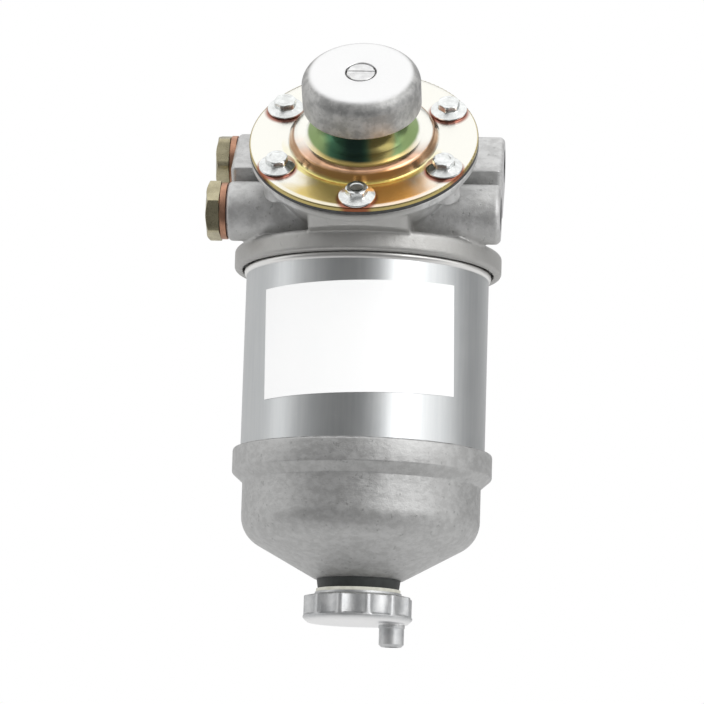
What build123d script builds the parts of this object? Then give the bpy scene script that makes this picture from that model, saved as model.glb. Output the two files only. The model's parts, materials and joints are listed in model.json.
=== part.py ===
from build123d import *
import math
import os

# Diesel fuel filter with a diaphragm hand pump on the slanted face of its head.
# The origin is the centre of the two bracket bolts on the head's rear face. +Z points up along the
# filter's axis, and the pump faces the front, -Y. All sizes are in millimetres.

# Places of the filter column and of the pump
axis_y = -55.0            # filter axis, in front of the bracket face
seat_z = -40.0            # underside of the head's flange
pump_tilt = 49.6          # pump axis, leaning forward from vertical
pump_forward = 34.5       # centre of the pump's face, in front of the filter's axis
pump_rise = 39.8          # and above the head's seat

# Clearances
slide_gap = 0.05          # shafts in their guides and screws in their threads
seat_gap = 0.1            # a ring in its groove
press_gap = 0.02          # pressed-in cups

# Filter element
can_r = 43.3
can_wall = 0.7
can_bead_proud = 0.8
can_bead_h = 3.2
can_bead_mid = -0.5       # middle of the rolled bead, from the head's seat
can_rim_above = 2.1       # the canister's rim stands this far inside the head's groove
can_visible_h = 64.3
can_rim_below = 4.4       # and this far inside the bowl's groove
tube_r = 10.6
tube_wall = 0.8
tube_below = 2.0
paper_inset = 1.6
paper_margin_top = 9.0
paper_margin_foot = 4.0
end_plate_t = 0.8
end_plate_hole_r = 4.5
end_plate_holes = 6
seal_h = 1.9
outlet_ring_h = 1.8
label_t = 0.25
label_gap = 0.03
label_top_h = -9.9
label_height = 39.0
label_angle = 98.0

# Head: flange and canister groove
flange_lip = 2.1
flange_h = 7.6
flange_round = 1.2
flange_bevel = 1.0
bead_gap = 1.5
groove_land = 2.4         # groove inside the canister's wall
groove_lip = 1.6
tower_wall = 1.4
tower_top_h = 31.0
tower_draft = 2.0
outlet_boss_wall = 2.2
outlet_boss_drop = 3.5
outlet_bore_h = 10.0
clean_passage_r = 2.6
clean_link_r = 3.2

# Head: cross bosses with the four ports
boss_end_proud = 0.3      # bosses end this far outside the flange
lower_boss_r = 10.5
lower_boss_forward = 25.0
lower_boss_rise = 17.4
upper_boss_r = 10.7
upper_boss_forward = 1.0
upper_boss_rise = 39.8
cheek_length = 21.0       # slab that reaches from the upper boss down the slope
boss_chamfer = 1.2
block_rear = 7.5          # block's rear corner, behind and below the upper boss's middle
port_r = 6.25             # core of the M14 thread
port_depth = 13.0
gallery_r = 4.0

# Head: bracket pad and its arms
pad_width = 88.0
pad_height = 34.0
pad_thickness = 9.0
pad_corner_r = 8.0
bracket_hole_spacing = 62.0
bracket_hole_r = 5.25
bracket_boss_r = 10.0
bracket_boss_proud = 2.0
arm_width = 13.0
arm_x = 17.0
arm_inset = 3.0           # arms stop short of the pad's upper and lower edges
arm_rise = 8.6            # arms' front end, above the upper boss's middle
arm_landing = 32.4        # arms come down on the flange this far behind the filter's axis

# Pump: rim, cover and screws; heights run along the pump's axis from the slanted face
pump_r = 40.0
platform_rim_h = 3.2
rim_bevel = 0.6
housing_top_r = 36.0
housing_foot_r = 27.0
housing_depth = 20.0
housing_curve_r = 34.0
pedestal_width = 35.0
pedestal_depth = 28.0
pedestal_round = 4.0
screw_edge = 6.7          # screw circle, in from the rim
screw_count = 6
cover_screw_r = 2.05
cover_screw_length = 10.0
cover_screw_flange_r = 6.4
cover_screw_flange_t = 0.8
cover_screw_cone_h = 0.9
cover_screw_cone_slope = 65.0
cover_screw_flats = 7.2
cover_screw_head_h = 4.1
cover_screw_turn = 15.0
cover_screw_cup_r = 2.4
cover_screw_cup_depth = 0.7
cover_screw_cup_slope = 30.0
screw_hole_spare = 1.2
screw_boss_wall = 3.1
screw_pass_gap = 0.7
diaphragm_t = 1.2
diaphragm_fold_rise = 1.3
cover_t = 1.5
cover_step_in = 1.3       # the cover's step starts this far inside the screws' flanges
cover_step_w = 1.7
cover_rise = 3.2
cover_ring_w = 4.2        # flat ring on top of the step
cover_cove_r = 14.6       # the neck turns steeper here
cover_cove_h = 9.0
cover_neck_r = 12.6
cover_neck_top_h = 15.2
cover_under_edge = 0.2    # rounded edges of the rim
cover_upper_edge = 0.4
cover_foot_bend = 0.8     # outer bends, from the step's foot to the top of the neck
cover_ring_bend = 1.2
cover_cove_bend = 6.0
cover_neck_bend = 1.0
cover_inner_neck_bend = 0.4
cover_inner_cove_bend = 5.0
cover_inner_ring_bend = 2.0
cover_inner_step_bend = 0.6

# Pump: moving pieces
stroke = 7.0
floor_gap = 0.5           # left under the moving pieces at the end of the stroke
spindle_r = 4.0
spindle_thread_r = 3.0
spindle_end = 0.6
spindle_collar_r = 6.4
spindle_collar_h = 2.0
upper_plate_r = 18.0
lower_plate_r = 17.0
plate_t = 1.5
nut_flats = 10.0
nut_h = 3.0
guide_r = 6.2
guide_flange_r = 8.0
guide_flange_t = 0.8
knob_r = 20.6
knob_h = 14.3
knob_lift = 1.5           # knob's rim above the cover's neck, at rest
knob_shoulder_r = 5.0
knob_foot_bevel = 0.8
knob_wall = 2.6
knob_top_t = 2.8
knob_inner_bevel = 2.5
knob_boss_wall = 3.0
knob_boss_gap = 0.4
knob_screw_r = 2.5
knob_screw_head_r = 4.6
knob_pocket_r = 5.4
knob_pocket_depth = 1.6
knob_screw_sunk = 0.1
knob_screw_length = 8.0
slot_w = 1.4
slot_depth = 0.9
knob_spring_wire_r = 0.6
knob_spring_turns = 3.5

# Pump: chamber and valves
chamber_edge = 4.8        # land between the chamber and the screw circle
chamber_wall_w = 8.0
chamber_lip = 1.5
well_r = 8.0
well_draft = 1.0
valve_pocket_r = 6.5
valve_sunk = 0.4
valve_passage_r = 3.0
inlet_valve_x = -12.0
outlet_valve_x = 10.0
outlet_valve_e = -14.0    # e is measured up the slope of the face
valve_cup_h = 4.6
valve_cup_floor = 1.0
valve_cup_wall = 0.8
valve_lip_w = 1.1
valve_lip_t = 0.6
valve_hole_r = 1.0
valve_hole_count = 5
valve_hole_circle_r = 3.0
valve_disc_r = 5.0
valve_disc_t = 0.8
valve_spring_t = 0.25
valve_spring_arm_w = 1.6
valve_spring_arms = 3

# Ports: M14 plugs and washers
plug_flats = 19.0
plug_head_h = 5.0
plug_corner_cut = 0.9
plug_length = 10.0
plug_washer_r = 10.0
plug_washer_t = 2.0
washer_bore_gap = 0.3
lower_plug_turn = 17.0
upper_plug_turn = 1.6

# Sediment bowl
bowl_flange_lip = 2.1
bowl_flange_h = 8.4
bowl_flange_bevel = 0.5
bowl_bevel_h = 3.4
bowl_step_in = 1.1        # bowl's wall, in from the canister's
bowl_wall = 3.0
bowl_shoulder_r = 11.5
bowl_cone_slope = 29.0
bowl_foot_lip = 0.8
bowl_foot_h = 45.1
bowl_hole_gap = 0.4
bowl_can_gap = 0.6
bowl_land = 2.6           # groove inside the canister's wall
bowl_inner_lip = 1.4
bowl_lip_h = 2.6

# Clamp and drain below the bowl
stud_r = 4.5
stud_head_thread_r = 5.0
stud_head_thread_h = 12.0
stud_head_thread_foot = 13.0
stud_point = 1.0
stud_foot_r = 7.0
stud_foot_proud = 0.2     # above the bowl's floor
stud_drain_r = 2.2
stud_cross_r = 1.5
stud_cross_rise = 2.2
foot_seal_r = 14.8
foot_seal_taper = 0.5
foot_seal_h = 3.5
foot_seal_gap = 0.6
drain_washer_r = 14.9
drain_washer_t = 1.2
cap_r = 19.3
cap_h = 10.6
cap_rim_h = 2.7
cap_chamfer = 1.5
cap_collar_r = 15.3
cap_collar_h = 0.7
flute_count = 12
flute_depth = 1.7
flute_r = 5.6
cap_floor = 2.2
drain_seat_t = 1.3
drain_seat_land = 0.4
drain_web = 2.55          # between the cap's thread and the drain stub's bore
drain_stub_r = 4.4
drain_stub_h = 8.0
drain_stub_collar_h = 1.6
drain_stub_collar = 0.25
drain_stub_chamfer = 0.8
drain_stub_bore_r = 2.5
drain_passage_r = 1.5
drain_passage_drop = 0.4

# Derived radii of the column
bead_r = can_r + can_bead_proud
groove_outer_r = bead_r + bead_gap
groove_inner_r = can_r - can_wall - groove_land
lip_inner_r = groove_inner_r - groove_lip
groove_depth = can_rim_above + seal_h
flange_r = groove_outer_r + flange_lip
boss_half_length = flange_r + boss_end_proud
outlet_bore_r = tube_r - tube_wall - 2 * seat_gap
outlet_boss_r = outlet_bore_r + outlet_boss_wall
tower_r = outlet_boss_r + tower_wall
bowl_r = can_r - bowl_step_in
bowl_groove_inner_r = can_r - can_wall - bowl_land
bowl_groove_outer_r = can_r + bowl_can_gap
bowl_groove_depth = can_rim_below + seal_h
bowl_flange_r = bowl_groove_outer_r + bowl_flange_lip
bowl_hole_r = stud_foot_r + bowl_hole_gap
bowl_foot_r = foot_seal_r + bowl_foot_lip
foot_seal_bore_r = stud_foot_r + foot_seal_gap
drain_offset = stud_foot_r + slide_gap + drain_web + drain_stub_bore_r

# Derived places of the pump and the cross bosses
pump_y = axis_y - pump_forward
pump_z = seat_z + pump_rise
lower_boss_y = axis_y - lower_boss_forward
lower_boss_z = seat_z + lower_boss_rise
upper_boss_y = axis_y - upper_boss_forward
upper_boss_z = seat_z + upper_boss_rise

# Derived levels of the column
can_top_z = seat_z + can_rim_above
bowl_top_z = seat_z - can_visible_h
can_foot_z = bowl_top_z - can_rim_below
bowl_foot_z = bowl_top_z - bowl_foot_h
foot_seal_z = bowl_foot_z - foot_seal_h
cap_top_z = foot_seal_z - drain_washer_t
cap_foot_z = cap_top_z - cap_h
cap_pocket_z = cap_foot_z + cap_floor
drain_seat_top_z = cap_pocket_z + drain_seat_t

# Derived radii and heights of the pump
screw_pcd = 2 * (pump_r - screw_edge)
screw_step = 360 / screw_count
screw_hole_r = cover_screw_r + slide_gap
screw_boss_r = screw_hole_r + screw_boss_wall
chamber_r = screw_pcd / 2 - chamber_edge
chamber_floor_r = chamber_r - chamber_wall_w
chamber_depth = plate_t + stroke + floor_gap
well_depth = plate_t + nut_h + spindle_end + stroke + floor_gap
valve_pocket_depth = valve_cup_h + valve_sunk
cover_foot_h = diaphragm_t
cover_step_r = screw_pcd / 2 - cover_screw_flange_r - cover_step_in
cover_plateau_h = cover_foot_h + cover_rise
cover_plateau_r = cover_step_r - cover_step_w
cover_neck_foot_r = cover_plateau_r - cover_ring_w
screw_seat_h = cover_foot_h + cover_t
screw_hole_depth = cover_screw_length - screw_seat_h + screw_hole_spare
collar_foot_h = cover_foot_h + plate_t
guide_foot_h = collar_foot_h + spindle_collar_h
guide_top_h = cover_neck_top_h + guide_flange_t
knob_foot_h = cover_neck_top_h + knob_lift
knob_top_h = knob_foot_h + knob_h
knob_ceiling_h = knob_top_h - knob_top_t
knob_boss_foot_h = guide_top_h + stroke + knob_boss_gap
thread_bore_r = spindle_thread_r + slide_gap
spindle_bore_r = spindle_r + slide_gap
knob_boss_r = spindle_r + knob_boss_wall
knob_spring_r = guide_flange_r + 2 * knob_spring_wire_r

# Directions and axes
tilt_sin = math.sin(math.radians(pump_tilt))
tilt_cos = math.cos(math.radians(pump_tilt))
pump_origin = Vector(0, pump_y, pump_z)
pump_up = Vector(0, -tilt_sin, tilt_cos)
slope_up = Vector(0, tilt_cos, tilt_sin)
pump_axis = Axis(pump_origin, pump_up)
filter_axis = Axis((0, axis_y, 0), (0, 0, 1))
boss_slope = math.degrees(math.atan2(upper_boss_z - lower_boss_z, upper_boss_y - lower_boss_y))
port_places = ((lower_boss_y, lower_boss_z), (upper_boss_y, upper_boss_z))

# Half-section planes: x is the radius and y the height, along Z or along the pump's axis
filter_section = Plane(origin=(0, axis_y, 0), x_dir=(1, 0, 0), z_dir=(0, -1, 0))
pump_section = Plane(origin=pump_origin, x_dir=(1, 0, 0), z_dir=(0, -tilt_cos, -tilt_sin))

os.makedirs("parts", exist_ok=True)


def at_pump(height, x=0.0, e=0.0):
    """A plane square to the pump's axis, at a height above its face and e up its slope."""
    place = pump_origin + pump_up * height + slope_up * e + Vector(x, 0, 0)
    return Plane(origin=place, x_dir=(1, 0, 0), z_dir=pump_up)


def at_level(z):
    """A level plane centred on the filter's axis."""
    return Plane(origin=(0, axis_y, z), x_dir=(1, 0, 0), z_dir=(0, 0, 1))


def across(x, y, z, facing=1):
    """A plane square to the cross bosses, its x along +Y."""
    return Plane(origin=(x, y, z), x_dir=(0, 1, 0), z_dir=(facing, 0, 0))


def write(piece, name):
    piece.label = name
    export_step(piece, f"parts/{name}.step")


def ring(section, inner_r, outer_r, low, high):
    """A square-edged ring turned about the section plane's own axis."""
    turning_axis = filter_axis if section is filter_section else pump_axis
    with BuildPart() as made:
        with BuildSketch(section):
            with Locations(((inner_r + outer_r) / 2, (low + high) / 2)):
                Rectangle(outer_r - inner_r, high - low)
        revolve(axis=turning_axis)
    return made.part


# Pedestal below the pump's rim: the rim drawn straight down until it meets the flange
with BuildPart() as pedestal:
    with BuildSketch(at_pump(0)) as outline:
        Circle(pump_r - rim_bevel)
        Rectangle(pedestal_width, pump_r, align=(Align.CENTER, Align.MAX), mode=Mode.INTERSECT)
        fillet(outline.vertices().group_by(Axis.Y)[0], radius=pedestal_round)
    extrude(amount=-pedestal_depth)
    split(bisect_by=Plane.XY.offset(seat_z + flange_h - flange_bevel), keep=Keep.TOP)

# Cross bosses with chamfered ends, the upper one drawn out down the slope into a cheek
with BuildPart() as cross_bosses:
    with BuildSketch(across(-boss_half_length, lower_boss_y, lower_boss_z)):
        Circle(lower_boss_r)
    extrude(amount=2 * boss_half_length)
    with BuildSketch(across(-boss_half_length, upper_boss_y, upper_boss_z)):
        Circle(upper_boss_r)
        with Locations(Rotation(0, 0, boss_slope)):
            Rectangle(cheek_length, 2 * upper_boss_r, align=(Align.MAX, Align.CENTER))
    extrude(amount=2 * boss_half_length)
    boss_ends = cross_bosses.faces().filter_by(Axis.X)
    chamfer(boss_ends.edges(), length=boss_chamfer)

# Filter head: one aluminium casting
with BuildPart() as filter_head:
    # flange that the canister seats in, with rounded edges
    with BuildSketch(filter_section):
        with BuildLine():
            Line((0, seat_z), (flange_r - flange_round, seat_z))
            RadiusArc((flange_r - flange_round, seat_z), (flange_r, seat_z + flange_round), -flange_round)
            Polyline(
                (flange_r, seat_z + flange_round),
                (flange_r, seat_z + flange_h - flange_bevel),
                (flange_r - flange_bevel, seat_z + flange_h),
                (0, seat_z + flange_h),
                (0, seat_z),
            )
        make_face()
    revolve(axis=filter_axis)
    # boss inside the canister that the element's centre tube seals on, and the tower above it
    with BuildSketch(at_level(seat_z - outlet_boss_drop)):
        Circle(outlet_boss_r)
    extrude(amount=outlet_boss_drop + flange_h)
    with BuildSketch(at_level(seat_z + flange_h / 2)):
        Circle(tower_r)
    extrude(amount=tower_top_h - flange_h / 2, taper=tower_draft)
    add(cross_bosses.part)
    # block between the bosses, the flange and the pump's housing
    block_foot_z = seat_z + flange_h / 2
    with BuildSketch(Plane.YZ.offset(-housing_foot_r)):
        with BuildLine():
            Polyline(
                (lower_boss_y, block_foot_z),
                (lower_boss_y - lower_boss_r / 2, lower_boss_z),
                (upper_boss_y - upper_boss_r / 2, upper_boss_z + upper_boss_r / 2),
                (upper_boss_y + block_rear, upper_boss_z - block_rear),
                (axis_y + tower_r, block_foot_z),
                close=True,
            )
        make_face()
    extrude(amount=2 * housing_foot_r)
    # slanted round rim for the pump and the bowl-shaped housing below it
    housing_top = (housing_top_r, -platform_rim_h - rim_bevel)
    housing_foot = (housing_foot_r, -housing_depth)
    with BuildSketch(pump_section):
        with BuildLine():
            Polyline(
                (0, 0),
                (pump_r - rim_bevel, 0),
                (pump_r, -rim_bevel),
                (pump_r, -platform_rim_h + rim_bevel),
                (pump_r - rim_bevel, -platform_rim_h),
                housing_top,
            )
            RadiusArc(housing_top, housing_foot, housing_curve_r)
            Polyline(housing_foot, (0, -housing_depth), (0, 0))
        make_face()
    revolve(axis=pump_axis)
    add(pedestal.part)
    # bosses under the rim for the screws that the pedestal doesn't take
    with BuildSketch(at_pump(-screw_hole_depth - screw_hole_spare)):
        with PolarLocations(
            screw_pcd / 2,
            screw_count - 1,
            start_angle=screw_step - 90,
            angular_range=360 - 2 * screw_step,
            endpoint=True,
        ):
            Circle(screw_boss_r)
    extrude(amount=screw_hole_depth)
    # pad for the bracket, with two bolt bosses and two arms
    with BuildSketch(Plane.XZ):
        RectangleRounded(pad_width, pad_height, pad_corner_r)
    extrude(amount=pad_thickness)
    with BuildSketch(Plane.XZ.offset(pad_thickness)):
        with GridLocations(bracket_hole_spacing, 1, 2, 1):
            Circle(bracket_boss_r)
    extrude(amount=bracket_boss_proud)
    arm_foot_z = seat_z + flange_h - flange_bevel
    for side in (-1, 1):
        with BuildSketch(Plane.YZ.offset(side * arm_x - arm_width / 2)):
            with BuildLine():
                Polyline(
                    (-pad_thickness / 2, pad_height / 2 - arm_inset),
                    (upper_boss_y, upper_boss_z + arm_rise),
                    (upper_boss_y, arm_foot_z),
                    (axis_y + arm_landing, arm_foot_z),
                    (-pad_thickness / 2, arm_inset - pad_height / 2),
                    close=True,
                )
            make_face()
        extrude(amount=arm_width)
    # canister groove, dirty-side chamber, and the bore for the stud
    with BuildSketch(filter_section):
        with Locations(((groove_outer_r + groove_inner_r) / 2, seat_z)):
            Rectangle(groove_outer_r - groove_inner_r, groove_depth, align=(Align.CENTER, Align.MIN))
        with Locations(((lip_inner_r + outlet_boss_r) / 2, seat_z)):
            Rectangle(lip_inner_r - outlet_boss_r, groove_depth, align=(Align.CENTER, Align.MIN))
    revolve(axis=filter_axis, mode=Mode.SUBTRACT)
    with BuildSketch(at_level(seat_z - outlet_boss_drop)):
        Circle(outlet_bore_r)
    extrude(amount=outlet_boss_drop + outlet_bore_h, mode=Mode.SUBTRACT)
    with BuildSketch(at_level(seat_z)):
        Circle(stud_head_thread_r + slide_gap)
    extrude(amount=stud_head_thread_foot + stud_head_thread_h + stud_point, mode=Mode.SUBTRACT)
    # clean passage from the outlet bore up to the upper gallery
    clean_passage_y = axis_y - outlet_bore_r
    with BuildSketch(Plane.XY.offset(seat_z + outlet_bore_h - clean_passage_r)):
        with Locations((0, clean_passage_y)):
            Circle(clean_passage_r)
    extrude(amount=upper_boss_z - seat_z - outlet_bore_h + clean_passage_r, mode=Mode.SUBTRACT)
    with BuildSketch(Plane.XZ.offset(-upper_boss_y)):
        with Locations((0, upper_boss_z)):
            Circle(clean_link_r)
    extrude(amount=upper_boss_y - clean_passage_y + clean_link_r, mode=Mode.SUBTRACT)
    # galleries from side to side and the four threaded ports
    for port_y, port_z in port_places:
        with BuildSketch(across(-boss_half_length, port_y, port_z)):
            Circle(gallery_r)
        extrude(amount=2 * boss_half_length, mode=Mode.SUBTRACT)
        for side in (-1, 1):
            with BuildSketch(across(side * boss_half_length, port_y, port_z, facing=-side)):
                Circle(port_r)
            extrude(amount=port_depth, mode=Mode.SUBTRACT)
    # pump chamber, and the well for the spindle's nut
    with BuildSketch(pump_section):
        with BuildLine():
            Polyline(
                (0, 0),
                (chamber_r, 0),
                (chamber_r, -chamber_lip),
                (chamber_floor_r, -chamber_depth),
                (well_r, -chamber_depth),
                (well_r - well_draft, -well_depth),
                (0, -well_depth),
                close=True,
            )
        make_face()
    revolve(axis=pump_axis, mode=Mode.SUBTRACT)
    # valve pockets; the inlet's passage meets the lower gallery, the outlet's drops to the element
    gallery_offset = Vector(0, lower_boss_y, lower_boss_z) - pump_origin
    gallery_h = gallery_offset.dot(pump_up)
    inlet_valve_e = gallery_offset.dot(slope_up)
    pocket_floor_h = -chamber_depth - valve_pocket_depth
    for valve_x, valve_e in ((inlet_valve_x, inlet_valve_e), (outlet_valve_x, outlet_valve_e)):
        with BuildSketch(at_pump(pocket_floor_h, valve_x, valve_e)):
            Circle(valve_pocket_r)
        extrude(amount=-pocket_floor_h - chamber_lip, mode=Mode.SUBTRACT)
    with BuildSketch(at_pump(gallery_h, inlet_valve_x, inlet_valve_e)):
        Circle(valve_passage_r)
    extrude(amount=pocket_floor_h - gallery_h + slide_gap, mode=Mode.SUBTRACT)
    outlet_floor = at_pump(pocket_floor_h, outlet_valve_x, outlet_valve_e).origin
    drop_foot_z = seat_z + groove_depth - slide_gap
    with BuildSketch(Plane(origin=(outlet_floor.X, outlet_floor.Y, drop_foot_z))):
        Circle(valve_passage_r)
    extrude(amount=outlet_floor.Z - drop_foot_z + valve_passage_r / 2, mode=Mode.SUBTRACT)
    # threaded holes for the cover's screws, and the bracket's bolt holes
    with BuildSketch(at_pump(-screw_hole_depth)):
        with PolarLocations(screw_pcd / 2, screw_count, start_angle=-90):
            Circle(screw_hole_r)
    extrude(amount=screw_hole_depth, mode=Mode.SUBTRACT)
    with BuildSketch(Plane.XZ):
        with GridLocations(bracket_hole_spacing, 1, 2, 1):
            Circle(bracket_hole_r)
    extrude(amount=pad_thickness + bracket_boss_proud, mode=Mode.SUBTRACT)
write(filter_head.part, "filter_head")


# Washers and plugs of the two left ports; the two right ones are open for the pipe unions
plug_r = port_r - slide_gap
with BuildPart() as port_plug_washers:
    for port_y, port_z in port_places:
        with BuildSketch(across(-boss_half_length, port_y, port_z, facing=-1)):
            Circle(plug_washer_r)
            Circle(plug_r + washer_bore_gap, mode=Mode.SUBTRACT)
        extrude(amount=plug_washer_t)
write(port_plug_washers.part, "port_plug_washers")

plug_seat_x = -boss_half_length - plug_washer_t
plug_corner_r = plug_flats / 2 / math.cos(math.pi / 6)
with BuildPart() as port_plugs:
    for (port_y, port_z), turn in zip(port_places, (lower_plug_turn, upper_plug_turn)):
        seat = across(plug_seat_x, port_y, port_z, facing=-1)
        with BuildSketch(seat):
            RegularPolygon(radius=plug_flats / 2, side_count=6, major_radius=False, rotation=turn)
        extrude(amount=plug_head_h)
        with BuildSketch(seat):
            Circle(plug_r)
        extrude(amount=-(plug_washer_t + plug_length))
    # the hexagons' outer corners are turned off
    for port_y, port_z in port_places:
        with BuildSketch(Plane(origin=(plug_seat_x, port_y, port_z), x_dir=(0, 0, 1), z_dir=(0, -1, 0))):
            with BuildLine():
                Polyline(
                    (plug_flats / 2, -plug_head_h),
                    (plug_corner_r + seat_gap, plug_corner_cut - plug_head_h),
                    (plug_corner_r + seat_gap, -plug_head_h),
                    close=True,
                )
            make_face()
        revolve(axis=Axis((0, port_y, port_z), (1, 0, 0)), mode=Mode.SUBTRACT)
write(port_plugs.part, "port_plugs")

# Filter element: canister with a rolled bead below the head, centre tube, paper and end plates
can_inner_r = can_r - can_wall
bead_z = seat_z + can_bead_mid
with BuildPart() as element_can:
    with BuildSketch(filter_section):
        bead_foot = (can_r, bead_z - can_bead_h / 2)
        bead_head = (can_r, bead_z + can_bead_h / 2)
        with BuildLine():
            Polyline((can_inner_r, can_foot_z), (can_r, can_foot_z), bead_foot)
            ThreePointArc(bead_foot, (bead_r, bead_z), bead_head)
            Polyline(bead_head, (can_r, can_top_z), (can_inner_r, can_top_z), (can_inner_r, can_foot_z))
        make_face()
    revolve(axis=filter_axis)
write(element_can.part, "element_can")

tube_top_z = seat_z - outlet_boss_drop - outlet_ring_h
tube_foot_z = bowl_top_z - tube_below
write(ring(filter_section, tube_r - tube_wall, tube_r, tube_foot_z, tube_top_z), "element_centre_tube")

paper_top_z = seat_z - paper_margin_top
paper_foot_z = bowl_top_z + paper_margin_foot
plate_outer_r = can_inner_r - seat_gap
plate_inner_r = tube_r + seat_gap
write(
    ring(filter_section, plate_inner_r, plate_outer_r - paper_inset, paper_foot_z, paper_top_z),
    "element_paper",
)

with BuildPart() as element_end_plates:
    for plate_z in (paper_top_z, paper_foot_z - end_plate_t):
        with BuildSketch(at_level(plate_z)):
            Circle(plate_outer_r)
            Circle(plate_inner_r, mode=Mode.SUBTRACT)
            with PolarLocations((plate_inner_r + plate_outer_r) / 2, end_plate_holes):
                Circle(end_plate_hole_r, mode=Mode.SUBTRACT)
        extrude(amount=end_plate_t)
write(element_end_plates.part, "element_end_plates")

# Rubber rings that the canister and the centre tube seal on
write(
    ring(
        filter_section,
        groove_inner_r + seat_gap,
        groove_outer_r - seat_gap,
        can_top_z,
        can_top_z + seal_h,
    ),
    "head_seal_ring",
)
write(
    ring(
        filter_section,
        bowl_groove_inner_r + seat_gap,
        bowl_groove_outer_r - seat_gap,
        can_foot_z - seal_h,
        can_foot_z,
    ),
    "bowl_seal_ring",
)
write(
    ring(
        filter_section,
        outlet_bore_r + seat_gap,
        outlet_boss_r - seat_gap,
        tube_top_z,
        tube_top_z + outlet_ring_h,
    ),
    "outlet_seal_ring",
)

# Bare paper label, wrapped round the front of the canister
label_start = math.radians(-90 - label_angle / 2)
label_edge = Vector(math.cos(label_start), math.sin(label_start), 0)
label_section = Plane(origin=(0, axis_y, 0), x_dir=label_edge, z_dir=label_edge.cross(Vector(0, 0, 1)))
label_mid = (can_r + label_gap + label_t / 2, seat_z + label_top_h - label_height / 2)
with BuildPart() as label_sheet:
    with BuildSketch(label_section):
        with Locations(label_mid):
            Rectangle(label_t, label_height)
    revolve(axis=filter_axis, revolution_arc=label_angle)
write(label_sheet.part, "label_sheet")

# Sediment bowl: one aluminium casting, with a groove for the canister's foot
bowl_bevel_z = bowl_top_z - bowl_flange_h
bowl_wall_z = bowl_bevel_z - bowl_bevel_h
bowl_groove_z = bowl_top_z - bowl_groove_depth
bowl_lip_r = bowl_groove_inner_r - bowl_inner_lip
cone_slope = math.radians(bowl_cone_slope)
cone_cos = math.cos(cone_slope)
cone_sin = math.sin(cone_slope)
cone_meets_wall_z = bowl_foot_z + (bowl_r - bowl_foot_r) * math.tan(cone_slope)
shoulder_cut = bowl_shoulder_r * math.tan((math.pi / 2 - cone_slope) / 2)
shoulder_top = (bowl_r, cone_meets_wall_z + shoulder_cut)
shoulder_foot = (bowl_r - shoulder_cut * cone_cos, cone_meets_wall_z - shoulder_cut * cone_sin)
inner_shoulder_top = (bowl_r - bowl_wall, shoulder_top[1])
inner_shoulder_foot = (shoulder_foot[0] - bowl_wall * cone_sin, shoulder_foot[1] + bowl_wall * cone_cos)
bowl_floor_z = bowl_foot_z + bowl_wall
bowl_floor_r = inner_shoulder_foot[0] - (inner_shoulder_foot[1] - bowl_floor_z) / math.tan(cone_slope)
with BuildPart() as sediment_bowl:
    with BuildSketch(filter_section):
        with BuildLine():
            Polyline(
                (bowl_groove_inner_r, bowl_groove_z),
                (bowl_groove_outer_r, bowl_groove_z),
                (bowl_groove_outer_r, bowl_top_z),
                (bowl_flange_r - bowl_flange_bevel, bowl_top_z),
                (bowl_flange_r, bowl_top_z - bowl_flange_bevel),
                (bowl_flange_r, bowl_bevel_z),
                (bowl_r, bowl_wall_z),
                shoulder_top,
            )
            RadiusArc(shoulder_top, shoulder_foot, bowl_shoulder_r)
            Polyline(
                shoulder_foot,
                (bowl_foot_r, bowl_foot_z),
                (bowl_hole_r, bowl_foot_z),
                (bowl_hole_r, bowl_floor_z),
                (bowl_floor_r, bowl_floor_z),
                inner_shoulder_foot,
            )
            RadiusArc(inner_shoulder_foot, inner_shoulder_top, bowl_wall - bowl_shoulder_r)
            Polyline(
                inner_shoulder_top,
                (bowl_r - bowl_wall, bowl_groove_z - bowl_wall),
                (bowl_lip_r, bowl_groove_z - bowl_wall / 3),
                (bowl_lip_r, bowl_groove_z + bowl_lip_h),
                (bowl_groove_inner_r, bowl_groove_z + bowl_lip_h),
                (bowl_groove_inner_r, bowl_groove_z),
            )
        make_face()
    revolve(axis=filter_axis)
write(sediment_bowl.part, "sediment_bowl")

# Clamp below the bowl: rubber ring, washer, stud, seat and fluted cap
with BuildPart() as bowl_foot_seal:
    with BuildSketch(filter_section):
        with BuildLine():
            Polyline(
                (foot_seal_bore_r, foot_seal_z),
                (foot_seal_r - foot_seal_taper, foot_seal_z),
                (foot_seal_r, bowl_foot_z),
                (foot_seal_bore_r, bowl_foot_z),
                close=True,
            )
        make_face()
    revolve(axis=filter_axis)
write(bowl_foot_seal.part, "bowl_foot_seal")
write(ring(filter_section, foot_seal_bore_r, drain_washer_r, cap_top_z, foot_seal_z), "drain_washer")

stud_thread_z = seat_z + stud_head_thread_foot
stud_top_z = stud_thread_z + stud_head_thread_h
stud_foot_top_z = bowl_floor_z + stud_foot_proud
with BuildPart() as centre_stud:
    with BuildSketch(filter_section):
        with BuildLine():
            Polyline(
                (0, drain_seat_top_z),
                (stud_foot_r - stud_point, drain_seat_top_z),
                (stud_foot_r, drain_seat_top_z + stud_point),
                (stud_foot_r, stud_foot_top_z),
                (stud_r, stud_foot_top_z + stud_point),
                (stud_r, stud_thread_z - stud_point / 2),
                (stud_head_thread_r, stud_thread_z),
                (stud_head_thread_r, stud_top_z - stud_point),
                (stud_head_thread_r - stud_point, stud_top_z),
                (0, stud_top_z),
                close=True,
            )
        make_face()
    revolve(axis=filter_axis)
    # water runs in through a cross hole above the bowl's floor and down the hollow foot
    cross_z = bowl_floor_z + stud_cross_rise
    with BuildSketch(at_level(drain_seat_top_z)):
        Circle(stud_drain_r)
    extrude(amount=cross_z - drain_seat_top_z + stud_cross_r, mode=Mode.SUBTRACT)
    with BuildSketch(across(-stud_foot_r, axis_y, cross_z)):
        Circle(stud_cross_r)
    extrude(amount=2 * stud_foot_r, mode=Mode.SUBTRACT)
write(centre_stud.part, "centre_stud")

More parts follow.
